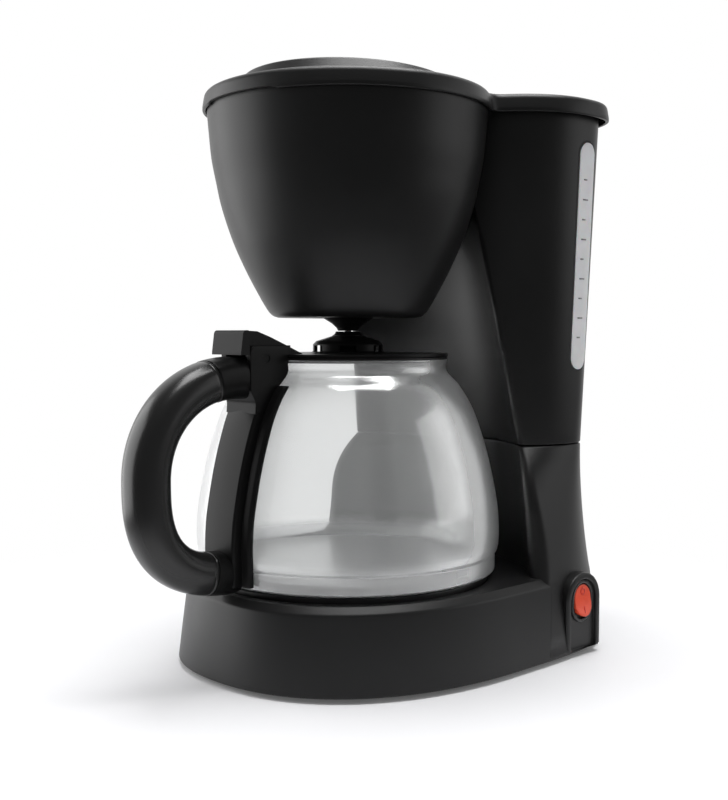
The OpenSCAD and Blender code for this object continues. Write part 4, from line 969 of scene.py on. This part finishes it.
@dataclass
class LidUnit:
    """Lid over bowl and tank, with its raised disc and its hinge block."""

    radius: float = 61.2
    neck: float = 5.0
    skirt_z: float = LID_LOW_Z
    top_z: float = 239.0
    wall: float = 1.5
    disc: Triple = (48.0, 44.0, 246.0)  # radius below, radius on top and top
    tilt: float = math.tan(math.radians(2.3))
    hinge: Pair = (104.7, 229.0)
    ear_x: Pair = (37.4, 43.6)
    grip_x: Pair = (19.8, 21.4)
    lifts: Pair = (0.8, 2.0)  # of the skirt's edge, at the grip and at the ears
    block: Triple = (3.4, 37.5, 0.2)  # radius, half width and overlap with the lid
    counts: tuple[int, int, int] = (90, 12, 90)

    def neck_of(self, inset: float) -> tuple[Array, Array, Array, Array]:
        """Neck of the outline, an arc that touches both the egg and the bowl's circle.

        Its centre is where the egg and the circle, both grown by its radius, meet.

        Args:
            inset: distance that the outline is drawn in by.

        Returns:
            The egg up to the neck, the arc's centre, and where it meets egg and circle.
        """
        radius, neck = self.radius - inset, self.neck + inset
        egg = TANK_EGG.half(inset)
        grown = egg + neck * outward(egg)
        gap = np.linalg.norm(grown, axis=1) - (radius + neck)
        centre, i = crossing(grown, gap)
        touch, _ = crossing(egg, gap)
        return egg[:i], centre, touch, centre * radius / (radius + neck)

    def spokes(self, inset: float) -> Array:
        """Directions from the bowl's axis, one for each point of the outline.

        They turn evenly behind the necks, so that no two lines to the outline cross there.
        """
        _, _, touch, on_circle = self.neck_of(inset)
        low = math.atan2(on_circle[1], on_circle[0])
        high = max(math.atan2(touch[1], touch[0]), low + 0.02)
        angle = np.concatenate([np.linspace(math.pi / 2, high, self.counts[0]),
                                np.linspace(high, low, self.counts[1] + 1)[1:-1],
                                np.linspace(low, -math.pi / 2, self.counts[2])])
        half = at_angles(angle)
        half[[0, -1], 0] = 0
        return mirrored(half)

    def outline(self, inset: float) -> Array:
        """Closed outline: the tank's egg behind, the bowl's circle in front, soft necks.

        Args:
            inset: distance that the outline is drawn in by.

        Returns:
            The ring.
        """
        egg, centre, touch, on_circle = self.neck_of(inset)
        back = resampled(np.concatenate([egg, touch[None]]), self.counts[0])
        corner = arc_between(touch, on_circle, centre, self.counts[1])[1:-1]
        front = at_angles(fan(on_circle, -math.pi / 2, self.counts[2]), self.radius - inset)
        front[-1, 0] = 0
        return mirrored(np.concatenate([back, corner, front]))

    def tilted(self, points: Array, base: float) -> Array:
        """Leans the disc: its height over base shrinks evenly from front to back."""
        x, y, z = points.T
        full = self.disc[2] - self.top_z
        share = 1 - (y + self.disc[1]) * self.tilt / full
        return np.column_stack([x, y, np.where(z > base, base + (z - base) * share, z)])

    def relieved(self, points: Array) -> Array:
        """Lifts the skirt's lower edge over the front grip notch and round the hinge ears."""
        x, y, z = points.T
        low, high = self.ear_x
        side = np.abs(x)
        front = (1 - soft_step(side, *self.grip_x)) * (y < -40)
        ear = soft_step(side, low - 0.8, low + 0.2) * (1 - soft_step(side, high - 0.2, high + 1.0))
        floor = self.skirt_z + self.lifts[0] * front + self.lifts[1] * ear * (y > 98)
        return np.column_stack([x, y, np.where(z < floor, np.maximum(z, floor), z)])

    def shell(self) -> bpy.types.Object:
        """Lid: from the disc's middle over its edge, down the skirt and back underneath."""
        spokes = self.spokes(6)
        low_r, top_r, disc_z = self.disc
        under = self.top_z - self.wall
        disc = rounded([(0.0, disc_z), (top_r, disc_z), (low_r, self.top_z),
                        (low_r + 3, self.top_z)], [0, 1.6, 1.0, 0], 6)
        skirt = rounded([(6, self.top_z), (1.0, self.top_z), (0, self.skirt_z + 1.6),
                         (0, self.skirt_z), (self.wall, self.skirt_z), (self.wall, under),
                         (6, under)], [0, 3.4, 2.5, 0.6, 0.5, 0.6, 0], 7)
        inner = rounded([(low_r + 1, under), (low_r - 1.5, under),
                         (top_r - 1.5, disc_z - self.wall), (0, disc_z - self.wall)],
                        [0, 0.8, 0.8, 0], 4)
        rows = [self.tilted(lifted(spokes * max(r, 1e-6), z), self.top_z) for r, z in disc]
        rows += [self.relieved(lifted(self.outline(d), z)) for d, z in skirt]
        rows += [self.tilted(lifted(spokes * max(r, 1e-6), z), under) for r, z in inner]
        form = Form().loft(rows, caps=False)
        return self.hinge_block(form).object("lid_shell")

    def hinge_block(self, form: Form) -> Form:
        """Adds the block that carries the hinge pin: a round lower edge, up to the lid."""
        y = self.hinge[0]
        r, half_w, overlap = self.block
        top = self.top_z - self.wall + overlap
        arc = at_angles(np.radians(np.linspace(-180, 0, 20)), r) + self.hinge
        outline = np.concatenate([arc, [(y + r, top), (y - r, top)]])
        return form.loft([across_x(outline, x) for x in (-half_w, half_w)])

    def build(self) -> None:
        """Makes the lid and puts it on its body."""
        dress(self.shell(), "brew_lid", "black_plastic", "brew_lid")


# ---- carafe ------------------------------------------------------------------------

GLASS_CURVE = spline([(64.8, 49.5), (65.0, 54.0), (64.8, 60.0), (64.2, 66.5), (62.8, 74.5),
                      (60.8, 84.0), (58.1, 94.0), (54.7, 104.0), (51.4, 111.0), (47.5, 117.0),
                      (44.3, 120.4), (42.6, 122.4), (42.0, 124.6), (42.5, 127.8)], 6)


def glass_radius(z: float | Array) -> Array:
    """Outer radius of the jug's glass at a height."""
    return np.interp(z, GLASS_CURVE[:, 1], GLASS_CURVE[:, 0])


def on_glass(x: Array, depth: Array, z: Array) -> Array:
    """Points a depth off the glass at the front: y = -sqrt((R(z) + depth)^2 - x^2)."""
    reach = glass_radius(z) + depth
    return np.column_stack([x, -np.sqrt(np.maximum(reach**2 - x**2, 1)), z + 0 * x])


@dataclass
class Jug:
    """Glass jug with its collar and its hinged lid."""

    foot_z: float = 37.8
    rim_z: float = 127.8
    wall: float = 2.0
    collar_z: float = 127.9
    collar_r: Triple = (38.6, 40.6, 42.8)  # hook inside the neck, seat on the rim, edge
    dome_r: Pair = (11.2, 12.0)
    mouth_r: Pair = (2.4, 7.0)
    lid_z: float = 129.2
    thumb_y: float = 60.6
    thumb_half_w: float = 9.4
    thumb_edge_x: float = 6.05
    skirt_r: float = 39.0
    skirt_share: float = 0.3

    def glass(self) -> bpy.types.Object:
        """Blown glass: the outer curve up, over a round rim, and down an even wall inside."""
        foot = rounded(
            [(0, 39.0), (54.8, 38.8), (60.6, self.foot_z), (63.3, 38.6), (63.3, 45.6),
             (64.3, 47.2), (64.8, 49.5)], [0, 3, 1.4, 1.2, 1.2, 2.0, 0], 6)
        down = GLASS_CURVE[::-1]
        inside = down - self.wall * outward(down)
        middle = (GLASS_CURVE[-1] + inside[0]) / 2 - (0, 0.001)
        rim = arc_between(GLASS_CURVE[-1], inside[0], middle, 6)
        rim[1:-1, 1] = np.minimum(rim[1:-1, 1], self.rim_z)
        floor = rounded([tuple(inside[-1]), (62.4, 47.6), (61.3, 44.6), (59.6, 40.9), (0, 40.4)],
                        [0, 2.0, 2.4, 3.0, 0], 6)
        profile = np.concatenate([foot[:-1], GLASS_CURVE, rim[1:-1], inside, floor[1:]])
        return Form().turned(profile, count=240, loop=False).object("jug_glass")

    def collar(self) -> bpy.types.Object:
        """Ring that clips over the neck."""
        z = self.collar_z
        hook, seat, edge = self.collar_r
        profile = rounded([(seat, z), (edge, z), (edge, z + 1), (seat, z + 1), (seat, z)],
                          [0, 0.3, 0.4, 0.2, 0], 4)
        skirt = rounded([(hook + 1.2, z - 1), (hook + 1.2, z + 0.5), (seat + 0.1, z + 0.5),
                         (seat + 0.1, z + 0.9), (hook, z + 0.9), (hook, z - 1)],
                        [0, 0.1, 0.1, 0.1, 0.3, 0], 3)
        form = Form().turned(profile[:-1], count=200)
        return form.turned(skirt, count=200).object("jug_collar")

    def lid(self) -> bpy.types.Object:
        """Hinged lid: the solid's own surface, with a wide thumb block and a low skirt."""
        piece = polished("carafe_lid", "jug_lid_cap")
        points = np.empty(len(piece.data.vertices) * 3)
        piece.data.vertices.foreach_get("co", points)
        x, y, z = points.reshape(-1, 3).T / MM
        block = (y < -self.thumb_y) & (np.abs(x) > self.thumb_edge_x)
        skirt = (z < self.lid_z - 0.05) & (np.hypot(x, y) < self.skirt_r)
        x = np.where(block, np.sign(x) * self.thumb_half_w, x)
        z = np.where(skirt, self.lid_z - self.skirt_share * (self.lid_z - z), z)
        piece.data.vertices.foreach_set("co", (np.column_stack([x, y, z]) * MM).ravel())
        piece.data.update()
        return piece

    def lid_core(self) -> bpy.types.Object:
        """Wall inside the dome's slots, and the mouth on top that meets the spout."""
        z = self.lid_z
        inner, outer = self.dome_r
        wall = rounded([(outer, z + 0.9), (outer, z + 6.2), (inner, z + 6.2), (inner, z + 0.9),
                        (outer, z + 0.9)], [0, 0.2, 0.2, 0, 0], 3)
        hole, foot = self.mouth_r
        mouth = rounded([(foot, z + 8.4), (foot - 1.4, z + 9.4), (foot - 1.8, z + 10.4),
                         (hole, z + 10.4), (hole, z + 8.4), (foot, z + 8.4)],
                        [0, 1.0, 0.3, 0.3, 0, 0], 4)
        return Form().turned(wall[:-1]).turned(mouth[:-1]).object("jug_lid_mouth")

    def build(self) -> None:
        """Makes the pieces and puts them on the carafe."""
        glass = self.glass()
        glass.data.materials.append(ClearGlass().material())
        dress(glass, "carafe", "clear_glass", "carafe_glass")
        dress(self.collar(), "carafe", "black_plastic", "carafe_collar")
        lid = self.lid()
        soften(lid, 0.28, angle=40, segments=2)
        # the lid and its mouth get the darker copy of the black plastic, which is painted shade
        dress(lid, "carafe_lid", "black_plastic", "carafe_lid", finish=Finishes.FRAME_BLACK_PAINTED_SHADE)
        dress(self.lid_core(), "carafe_lid", "black_plastic", finish=Finishes.FRAME_BLACK_PAINTED_SHADE)


@dataclass
class Handle:
    """Loop handle: a glossy grip, its strap up the glass and the head that holds the lid."""

    middle: Pair = (-62.0, 83.0)
    reach: float = 40.4
    height: Pair = (38.4, 38.3)  # of the loop, above and below its middle
    power: Pair = (2.1, 2.7)
    half: Pair = (9.2, 8.4)  # half of the grip's width and depth
    section: float = 2.4
    joints: Pair = (106.0, 256.0)  # degrees on the loop where the necks meet the grip
    sides: int = 96
    seam: Pair = (28.0, 0.035)
    neck_power: float = 2.7
    core_w: float = 9.4
    flange_w: float = 14.2
    strap_depth: tuple[float, ...] = (0.12, 2.2, 1.2, 5.2)  # near face, flange, groove, rib
    hug_z: Pair = (40.0, 118.0)
    head: Triple = (60.4, 107.0, 134.0)  # front, underside and top
    head_core: Triple = (-50.0, 12.0, 127.9)  # middle y, half depth, glass rim
    rim_y: float = -40.1
    gap: float = 0.15
    web_z: float = 125.0
    mm_per_degree: float = 0.7
    cheek: Pair = (6.2, 9.5)
    pin: Triple = (-52.5, 129.0, 1.75)  # y, z and radius

    def point(self, t: Array) -> Array:
        """Middle line: y and z of a superellipse whose power differs above and below."""
        a = np.radians(t)
        high = t < 180
        n = np.where(high, *self.power)
        tall = np.where(high, *self.height)
        return np.stack([self.middle[0] + self.reach * signed_power(np.cos(a), 2 / n),
                         self.middle[1] + tall * signed_power(np.sin(a), 2 / n)], -1)

    def ring(self, t: float, half: Pair, power: float, groove: float = 0.0,
             shrink: float = 0.0) -> Array:
        """Ring across the middle line: a superellipse with a fine groove on each side.

        Args:
            t: angle on the middle line in degrees.
            half: half of the width and half of the depth.
            power: exponent of the section.
            groove: depth of the groove.
            shrink: distance that the section is drawn in by.

        Returns:
            The ring.
        """
        step = self.point(np.array(t + 0.5)) - self.point(np.array(t - 0.5))
        u = step / np.linalg.norm(step)
        s = np.linspace(0, TURN, self.sides, endpoint=False)
        x = (half[0] - shrink) * signed_power(np.cos(s), 2 / power)
        d = (half[1] - shrink) * signed_power(np.sin(s), 2 / power)
        seam = np.radians(self.seam[0])
        near = np.minimum(np.abs(s - seam), np.abs(s - (math.pi - seam)))
        scale = 1 - groove / half[0] * np.exp(-((near / self.seam[1]) ** 2))
        y, z = self.point(np.array(t))
        return np.column_stack([x * scale, y - d * scale * u[1], z + d * scale * u[0]])

    def sweep(self, form: Form, ends: Pair, half: Pair,
              power: float, groove: float, edge: float) -> Form:
        """Adds a bar along the middle line with rounded ends.

        Args:
            form: form that the bar joins.
            ends: degrees on the loop where the bar starts and ends.
            half: half of the bar's width and depth.
            power: exponent of its section.
            groove: depth of its two seams.
            edge: radius of its rounded ends.

        Returns:
            The form.
        """
        first, last = ends
        turn = np.radians(np.linspace(0, 90, 5))
        span = edge / self.mm_per_degree
        ends_t, drawn = span * np.sin(turn), edge * (1 - np.sin(turn[::-1]))
        lows = [(first + t, s) for t, s in zip(ends_t, drawn)]
        highs = [(last - t, s) for t, s in zip(ends_t, drawn)][::-1]
        body = [(t, 0.0) for t in np.linspace(first + span, last - span, 110)[1:-1]]
        return form.loft([self.ring(t, half, power, groove, s) for t, s in lows + body + highs])

    def grip(self) -> bpy.types.Object:
        """Glossy grip with its two moulding seams."""
        low, high = self.joints
        form = self.sweep(Form(), (low, high), self.half, self.section, 0.16, 0.25)
        return form.object("grip_cover")

    def strap(self, form: Form) -> Form:
        """Adds the strap: a raised rib on a thin flange that hugs the glass."""
        near, flange, groove, core = self.strap_depth
        half = rounded(
            [(self.flange_w, near), (self.flange_w, flange), (self.core_w + 1.2, flange),
             (self.core_w + 0.9, groove), (self.core_w, groove), (self.core_w, core),
             (0, core)], [0, 0.9, 0.3, 0.2, 0.2, 1.0, 0], 4)
        back = [(x, near) for x in np.linspace(-self.flange_w, self.flange_w, 15)[1:-1]]
        ring = np.concatenate([half, half[-2::-1] * (-1, 1), back])
        low, high = self.hug_z
        edge = ((0.0, 0.5), (0.2, 0.15), (0.5, 0.0))
        rows = []
        for z, s in [*((low + d, s) for d, s in edge),
                     *((v, 0.0) for v in np.linspace(low + 1, high - 1, 60)),
                     *((high - d, s) for d, s in edge[::-1])]:
            depth = np.where(ring[:, 1] > 1, ring[:, 1] - s, ring[:, 1])
            rows.append(on_glass(ring[:, 0] * (1 - s / self.flange_w), depth, np.float64(z)))
        return form.loft(rows)

    def head_ring(self, x: float, top: float, shrink: float) -> Array:
        """Outline of the head: straight front, soft underside, back along the glass.

        Args:
            x: where it is cut across.
            top: level that it ends at.
            shrink: distance that its sides are drawn in by, about.

        Returns:
            The ring.
        """
        front, low, high = self.head
        core_y, half_depth, rim_z = self.head_core
        edge = 3.0 if top >= high else 0.4
        line = rounded(
            [(core_y + 3, top), (-front, top), (-front, low + 9.5), (-front + 2.6, low + 4.5),
             (-front + 2.3, low), (-front + 5.5, low)], [0, edge, 3.0, 4.0, 0.3, 0], 8)
        back_z = np.linspace(low, top, 20)
        reach = glass_radius(np.minimum(back_z, rim_z - 0.3)) + self.gap
        back = np.column_stack([-np.sqrt(reach**2 - x**2), back_z])
        back[back_z > rim_z, 0] = self.rim_y
        ring = np.concatenate([line, back])
        middle = np.array([core_y, (low + top) / 2])
        return across_x(ring + (middle - ring) * shrink / half_depth, x)

    def head_plates(self, form: Form) -> Form:
        """Adds the head: a web in the middle and two cheeks sunk where the lid's pin ends."""
        inner, outer = self.cheek
        form.loft([self.head_ring(x, self.web_z, 0) for x in (-inner - 0.2, inner + 0.2)])
        y, z, r = self.pin
        for side in (-1, 1):
            edges = [(inner, 0.2), (inner + 0.2, 0.0), (outer - 0.35, 0.0), (outer - 0.12, 0.1),
                     (outer, 0.35)]
            rows = [self.head_ring(side * x, self.head[2], shrink) for x, shrink in edges]
            spokes = rows[-1][:, 1:] - (y, z)
            hole = spokes / np.linalg.norm(spokes, axis=1)[:, None]
            rows += [across_x(hole * (r + g) + (y, z), side * x)
                     for x, g in ((outer, 0.15), (outer - 0.2, 0.0), (outer - 0.5, 0.0))]
            form.loft(rows)
        return form

    def frame_piece(self) -> bpy.types.Object:
        """Frame: strap, head with its two cheeks, and the necks that carry the grip."""
        form = self.head_plates(self.strap(Form()))
        first, last = self.joints
        self.sweep(form, (84.0, first - 0.3), self.half, self.neck_power, 0.0, 0.25)
        rows = [self.ring(t, self.half, self.neck_power) for t in np.linspace(last + 0.3, 268, 24)]
        end = rows[-1]
        rows.append(on_glass(end[:, 0], self.gap, np.maximum(end[:, 2], 38.2)))
        return form.loft(rows).object("handle_frame")

    def build(self) -> None:
        """Makes the handle's pieces and puts them on the carafe."""
        dress(self.grip(), "carafe", "gloss_black", "handle_grip")
        body = self.frame_piece()
        soften(body, 0)
        # the frame gets the darker copy of the black plastic, which is painted shade
        dress(body, "carafe", "black_plastic", "carafe_handle", finish=Finishes.FRAME_BLACK_PAINTED_SHADE)


# ---- switch ------------------------------------------------------------------------


@dataclass
class SwitchUnit:
    """Rocker switch in its arched surround on the base's side."""

    y: float = 70.0
    z: float = 23.5
    panel_x: float = 74.2
    face_x: float = 72.6
    arch_z: float = 24.0
    low_z: float = 3.0
    half_w: float = 12.0
    rib: float = 3.0
    rocker: Pair = (5.7, 6.9)  # half width and half height
    flange: Pair = (7.4, 9.2)
    tilt: float = 9.0
    pin_x: float = 71.6
    depth: float = 1.5
    mark: Triple = (3.9, -0.1, 0.16)  # distance from the middle, root and top
    count: int = 96

    def directions(self) -> Array:
        """Angles, round the switch's middle, at which every outline is sampled."""
        return np.linspace(0, TURN, self.count, endpoint=False) + 0.01

    def capped(self, half_w: float, rise: float, upward: Array) -> Array:
        """Reach of each ray to upright sides or to the round cap that they end in.

        Args:
            half_w: half of the width, which is also the cap's radius.
            rise: height of the cap's centre over the switch's middle.
            upward: sine of each ray's angle.

        Returns:
            The distances.
        """
        cos = np.cos(self.directions())
        side = half_w / np.maximum(np.abs(cos), 1e-9)
        cap = rise * upward + np.sqrt(np.maximum(half_w**2 - (rise * cos) ** 2, 0))
        return np.where(side * upward <= rise, side, cap)

    def oval(self, half_w: float, half_h: float) -> Array:
        """Slot with round ends."""
        a = self.directions()
        reach = self.capped(half_w, half_h - half_w, np.abs(np.sin(a)))
        return at_angles(a, reach) + (self.y, self.z)

    def arch(self, half_w: float, low: float) -> Array:
        """Arch standing on a level."""
        a = self.directions()
        sin = np.sin(a)
        down = np.where(sin < 0, (self.z - low) / np.maximum(-sin, 1e-9), 1e9)
        reach = np.minimum(self.capped(half_w, self.arch_z - self.z, sin), down)
        return at_angles(a, reach) + (self.y, self.z)

    def surround(self) -> bpy.types.Object:
        """Arched rib round a sunk face, which has an oval hole."""
        x, face, rib = self.panel_x, self.face_x, self.rib
        hole = (self.flange[0] - 0.4, self.flange[1] - 0.4)
        steps = [(0, x - 8), (0, x - 1), (0.3, x - 0.3), (1, x), (rib - 0.6, x),
                 (rib - 0.15, x - 0.2), (rib, x - 0.6), (rib, face + 0.2)]
        rows = [(self.arch(self.half_w - inset, self.low_z), at) for inset, at in steps]
        rows += [(self.arch(self.half_w - rib - 0.3, self.low_z + 0.2), face),
                 (self.oval(hole[0] + 0.5, hole[1] + 0.5), face),
                 (self.oval(*hole), face), (self.oval(*hole), x - 8)]
        form = Form().loft([across_x(line, at) for line, at in rows], loop=True)
        return form.object("switch_surround")

    def housing(self) -> bpy.types.Object:
        """Oval collar with the well that the rocker sits in."""
        w, h = self.flange
        well = (self.rocker[0] + 0.4, self.rocker[1] + 0.8)
        top = self.face_x + 0.9
        steps = [(w - 0.6, h - 0.6, 60.0), (w - 0.6, h - 0.6, self.face_x + 0.02),
                 (w, h, self.face_x + 0.02), (w, h, top - 0.5), (w - 0.15, h - 0.15, top - 0.15),
                 (w - 0.5, h - 0.5, top), (well[0] + 0.3, well[1] + 0.3, top),
                 (well[0], well[1], top - 0.3), (well[0], well[1], 65.2), (1.0, 1.6, 65.2)]
        form = Form().loft([across_x(self.oval(a, b), at) for a, b, at in steps])
        return form.object("switch_housing")

    def tilted(self, points: Array) -> Array:
        """Turns points about the rocker's pin by its resting tilt."""
        a = math.radians(-self.tilt)
        x, z = points[:, 0] - self.pin_x, points[:, 2] - self.z
        return np.column_stack([self.pin_x + x * math.cos(a) + z * math.sin(a), points[:, 1],
                                self.z - x * math.sin(a) + z * math.cos(a)])

    def crown(self, z: Array) -> Array:
        """Height of the rocker's face: 2.1 in the middle, rising as z^2 to its ends."""
        return self.pin_x + 2.1 + 0.8 * ((z - self.z) / 7.6) ** 2

    def on_face(self, line: Array, lift: float) -> Array:
        """A (y, z) line laid a lift over the rocker's face."""
        return self.tilted(np.column_stack([self.crown(line[:, 1]) + lift, line]))

    def button(self) -> bpy.types.Object:
        """Rocker: a hollowed face, a round edge, and sides that taper to the pin."""
        w, h = self.rocker
        rows = [self.on_face(self.oval(w * k, h * k), 0) for k in (0.05, 0.3, 0.55, 0.75, 0.9)]
        rows += [self.on_face(self.oval(w - inset, h - inset), -drop)
                 for inset, drop in ((0.25, 0.02), (0.1, 0.12), (0.02, 0.3), (0.0, 0.6))]
        line = self.oval(w, h)
        low = self.pin_x - self.depth
        taper = np.maximum(np.abs(line[:, 1] - self.z) - 3, 0) * 4.4 / 4.6
        side = np.minimum(low + taper, self.crown(line[:, 1]) - 0.8)
        rows.append(self.tilted(np.column_stack([side, line])))
        rows.append(self.tilted(across_x(self.oval(w * 0.3, h * 0.3), low)))
        return Form().loft(rows).object("rocker_button")

    def marks(self) -> bpy.types.Object:
        """Raised ring at the upper end and bar at the lower end."""
        form = Form()
        off, low, high = self.mark
        circle = at_angles(np.linspace(0, TURN, 48, endpoint=False))
        steps = ((1.1, low), (1.1, high), (1.5, high), (1.5, low))
        form.loft([self.on_face(circle * r + (self.y, self.z + off), h) for r, h in steps],
                  loop=True)
        bar = np.array([(-0.2, -1.4), (0.2, -1.4), (0.2, 1.4), (-0.2, 1.4)])
        form.loft([self.on_face(bar + (self.y, self.z - off), h) for h in (low, high)])
        return form.object("rocker_marks")

    def build(self) -> None:
        """Makes the pieces; the button and its marks ride on the rocker."""
        surround = self.surround()
        soften(surround, 0)
        dress(surround, "machine", "black_plastic", "switch_bezel")
        dress(self.housing(), "machine", "black_plastic", "switch_body",
              finish=Finishes.GLOSS_BLACK)
        dress(self.button(), "switch_rocker", "switch_red", "switch_rocker")
        dress(self.marks(), "switch_rocker", "switch_red", finish=Finishes.MARK_RED)


# ---- pieces kept from the frame ----------------------------------------------------


def finish_frame() -> None:
    """Gives each solid that is still shown the finish of its slot."""
    slots = {part["node"]: part["material_slot"] for part in frame["record"]["subparts"]}
    for name, node in frame["nodes"].items():
        if node.hide_render or slots[name] not in BY_SLOT:
            continue
        BY_SLOT[slots[name]].put(node)
        LOG.info("%s keeps its solid, finished as %s", name, slots[name])


# ---- studio ------------------------------------------------------------------------


@dataclass(frozen=True)
class Lamp:
    """Soft square lamp."""

    name: str
    place: Triple
    aim: Triple
    size: Pair
    watts: float

    def add(self) -> bpy.types.Object:
        """Hangs the lamp and turns it to its aim."""
        data = bpy.data.lights.new(self.name, "AREA")
        data.shape = "RECTANGLE"
        data.size, data.size_y = self.size
        data.energy = self.watts
        lamp = linked(self.name, data)
        lamp.location = self.place
        line = Vector(self.aim) - Vector(self.place)
        lamp.rotation_euler = line.to_track_quat("-Z", "Y").to_euler()
        return lamp


@dataclass
class Studio:
    """Pale floor, soft lamps, a white surround and the camera."""

    floor_half: float = 1.2
    floor_tone: Pair = (0.88, 0.91)
    floor_fade: Pair = (0.13, 0.30)  # distances between which it gives way
    floor_glow: float = 0.08
    fill: Pair = (0.30, 0.09)  # as light, and in reflections
    backdrop: Triple = (-0.72, 0.69, 0.05)
    backdrop_span: Pair = (0.1, 0.8)
    lamps: tuple[Lamp, ...] = (
        Lamp("left_lamp", (-0.64, -0.48, 0.25), (0, 0, 0.14), (0.8, 0.8), 4.5),
        Lamp("right_lamp", (0.70, 0.62, 0.35), (0, 0, 0.14), (0.6, 0.6), 1.1),
        Lamp("top_lamp", (0.05, 0.10, 1.12), (0, 0, 0.1), (0.7, 0.7), 12.0),
    )
    camera_place: Triple = (0.36237, -0.33792, 0.13838)
    camera_turn: Triple = (math.pi / 2 - 0.057, 0.0, math.radians(46.198))
    lens: float = 51.8

    def floor(self) -> None:
        """Lays the floor: a faintly mottled plane that gives way to the surround further out."""
        h = self.floor_half
        mesh = bpy.data.meshes.new("floor")
        mesh.from_pydata([(-h, -h, 0), (h, -h, 0), (h, h, 0), (-h, h, 0)], [], [(0, 1, 2, 3)])
        plane = linked("floor", mesh)
        low, high = self.floor_tone
        paper = Finish("floor_paper", grey(low, high), (0.6, 0.7), cloud=6, relief=0.02,
                       relief_scale=300, specular=0.2).material()
        tree = Tree(paper)
        shader = tree.nodes["Principled BSDF"]
        seen = tree.add("LightPath")["Is Camera Ray"]
        glow = tree.add("Math", {0: seen, 1: self.floor_glow}, operation="MULTIPLY")[0]
        tree.feed(shader, {"Emission Color": WHITE, "Emission Strength": glow})
        place = tree.nodes["Texture Coordinate"].outputs["Object"]
        distance = tree.add("VectorMath", {0: place}, operation="LENGTH")["Value"]
        nothing = tree.add("BsdfTransparent")[0]
        mix = tree.add("MixShader", {0: tree.remap(distance, self.floor_fade, soft=True),
                                     1: shader.outputs[0], 2: nothing})[0]
        tree.feed(tree.nodes["Material Output"], {"Surface": mix})
        mesh.materials.append(paper)

    def world(self) -> None:
        """Sets the surround.

        It is pure white to the camera and through the glass; in reflections it is white
        behind the machine only; as light it is an even fill.
        """
        world = bpy.data.worlds.new("surround")
        bpy.context.scene.world = world
        tree = Tree(world)
        tree.nodes.clear()
        ray = tree.add("LightPath")
        aim = tree.add("VectorMath", {0: tree.add("TexCoord")["Generated"],
                                      1: Vector(self.backdrop).normalized()},
                       operation="DOT_PRODUCT")["Value"]
        behind = tree.remap(aim, self.backdrop_span, soft=True)
        glossy = tree.add("Math", {0: ray["Is Glossy Ray"], 1: behind}, operation="MULTIPLY")[0]
        clear = tree.add("Math", {0: ray["Is Camera Ray"], 1: ray["Is Transmission Ray"]},
                         operation="MAXIMUM")[0]
        seen = tree.add("Math", {0: clear, 1: glossy}, operation="MAXIMUM")[0]
        fill = tree.remap(ray["Is Glossy Ray"], (0.0, 1.0), self.fill)
        soft, white = (tree.add("Background", {"Color": WHITE, "Strength": strength})[0]
                       for strength in (fill, 1.0))
        mix = tree.add("MixShader", {0: seen, 1: soft, 2: white})[0]
        tree.add("OutputWorld", {"Surface": mix})

    def camera(self) -> None:
        """Places the camera."""
        data = bpy.data.cameras.new("camera")
        data.lens, data.sensor_width = self.lens, 36
        data.clip_start = 0.01
        eye = linked("camera", data)
        eye.location, eye.rotation_euler = self.camera_place, self.camera_turn
        bpy.context.scene.camera = eye

    def build(self) -> None:
        """Sets up the whole studio."""
        bpy.context.scene.view_settings.view_transform = "Standard"
        self.floor()
        for lamp in self.lamps:
            lamp.add()
        self.world()
        self.camera()


def main() -> None:
    logging.basicConfig(level=logging.INFO, format="%(name)s: %(message)s")
    for unit in (BaseUnit(), TankUnit(), Gauge(), LidUnit(), Jug(), Handle(), SwitchUnit()):
        unit.build()
    finish_frame()
    Studio().build()


if __name__ == "__main__":
    main()
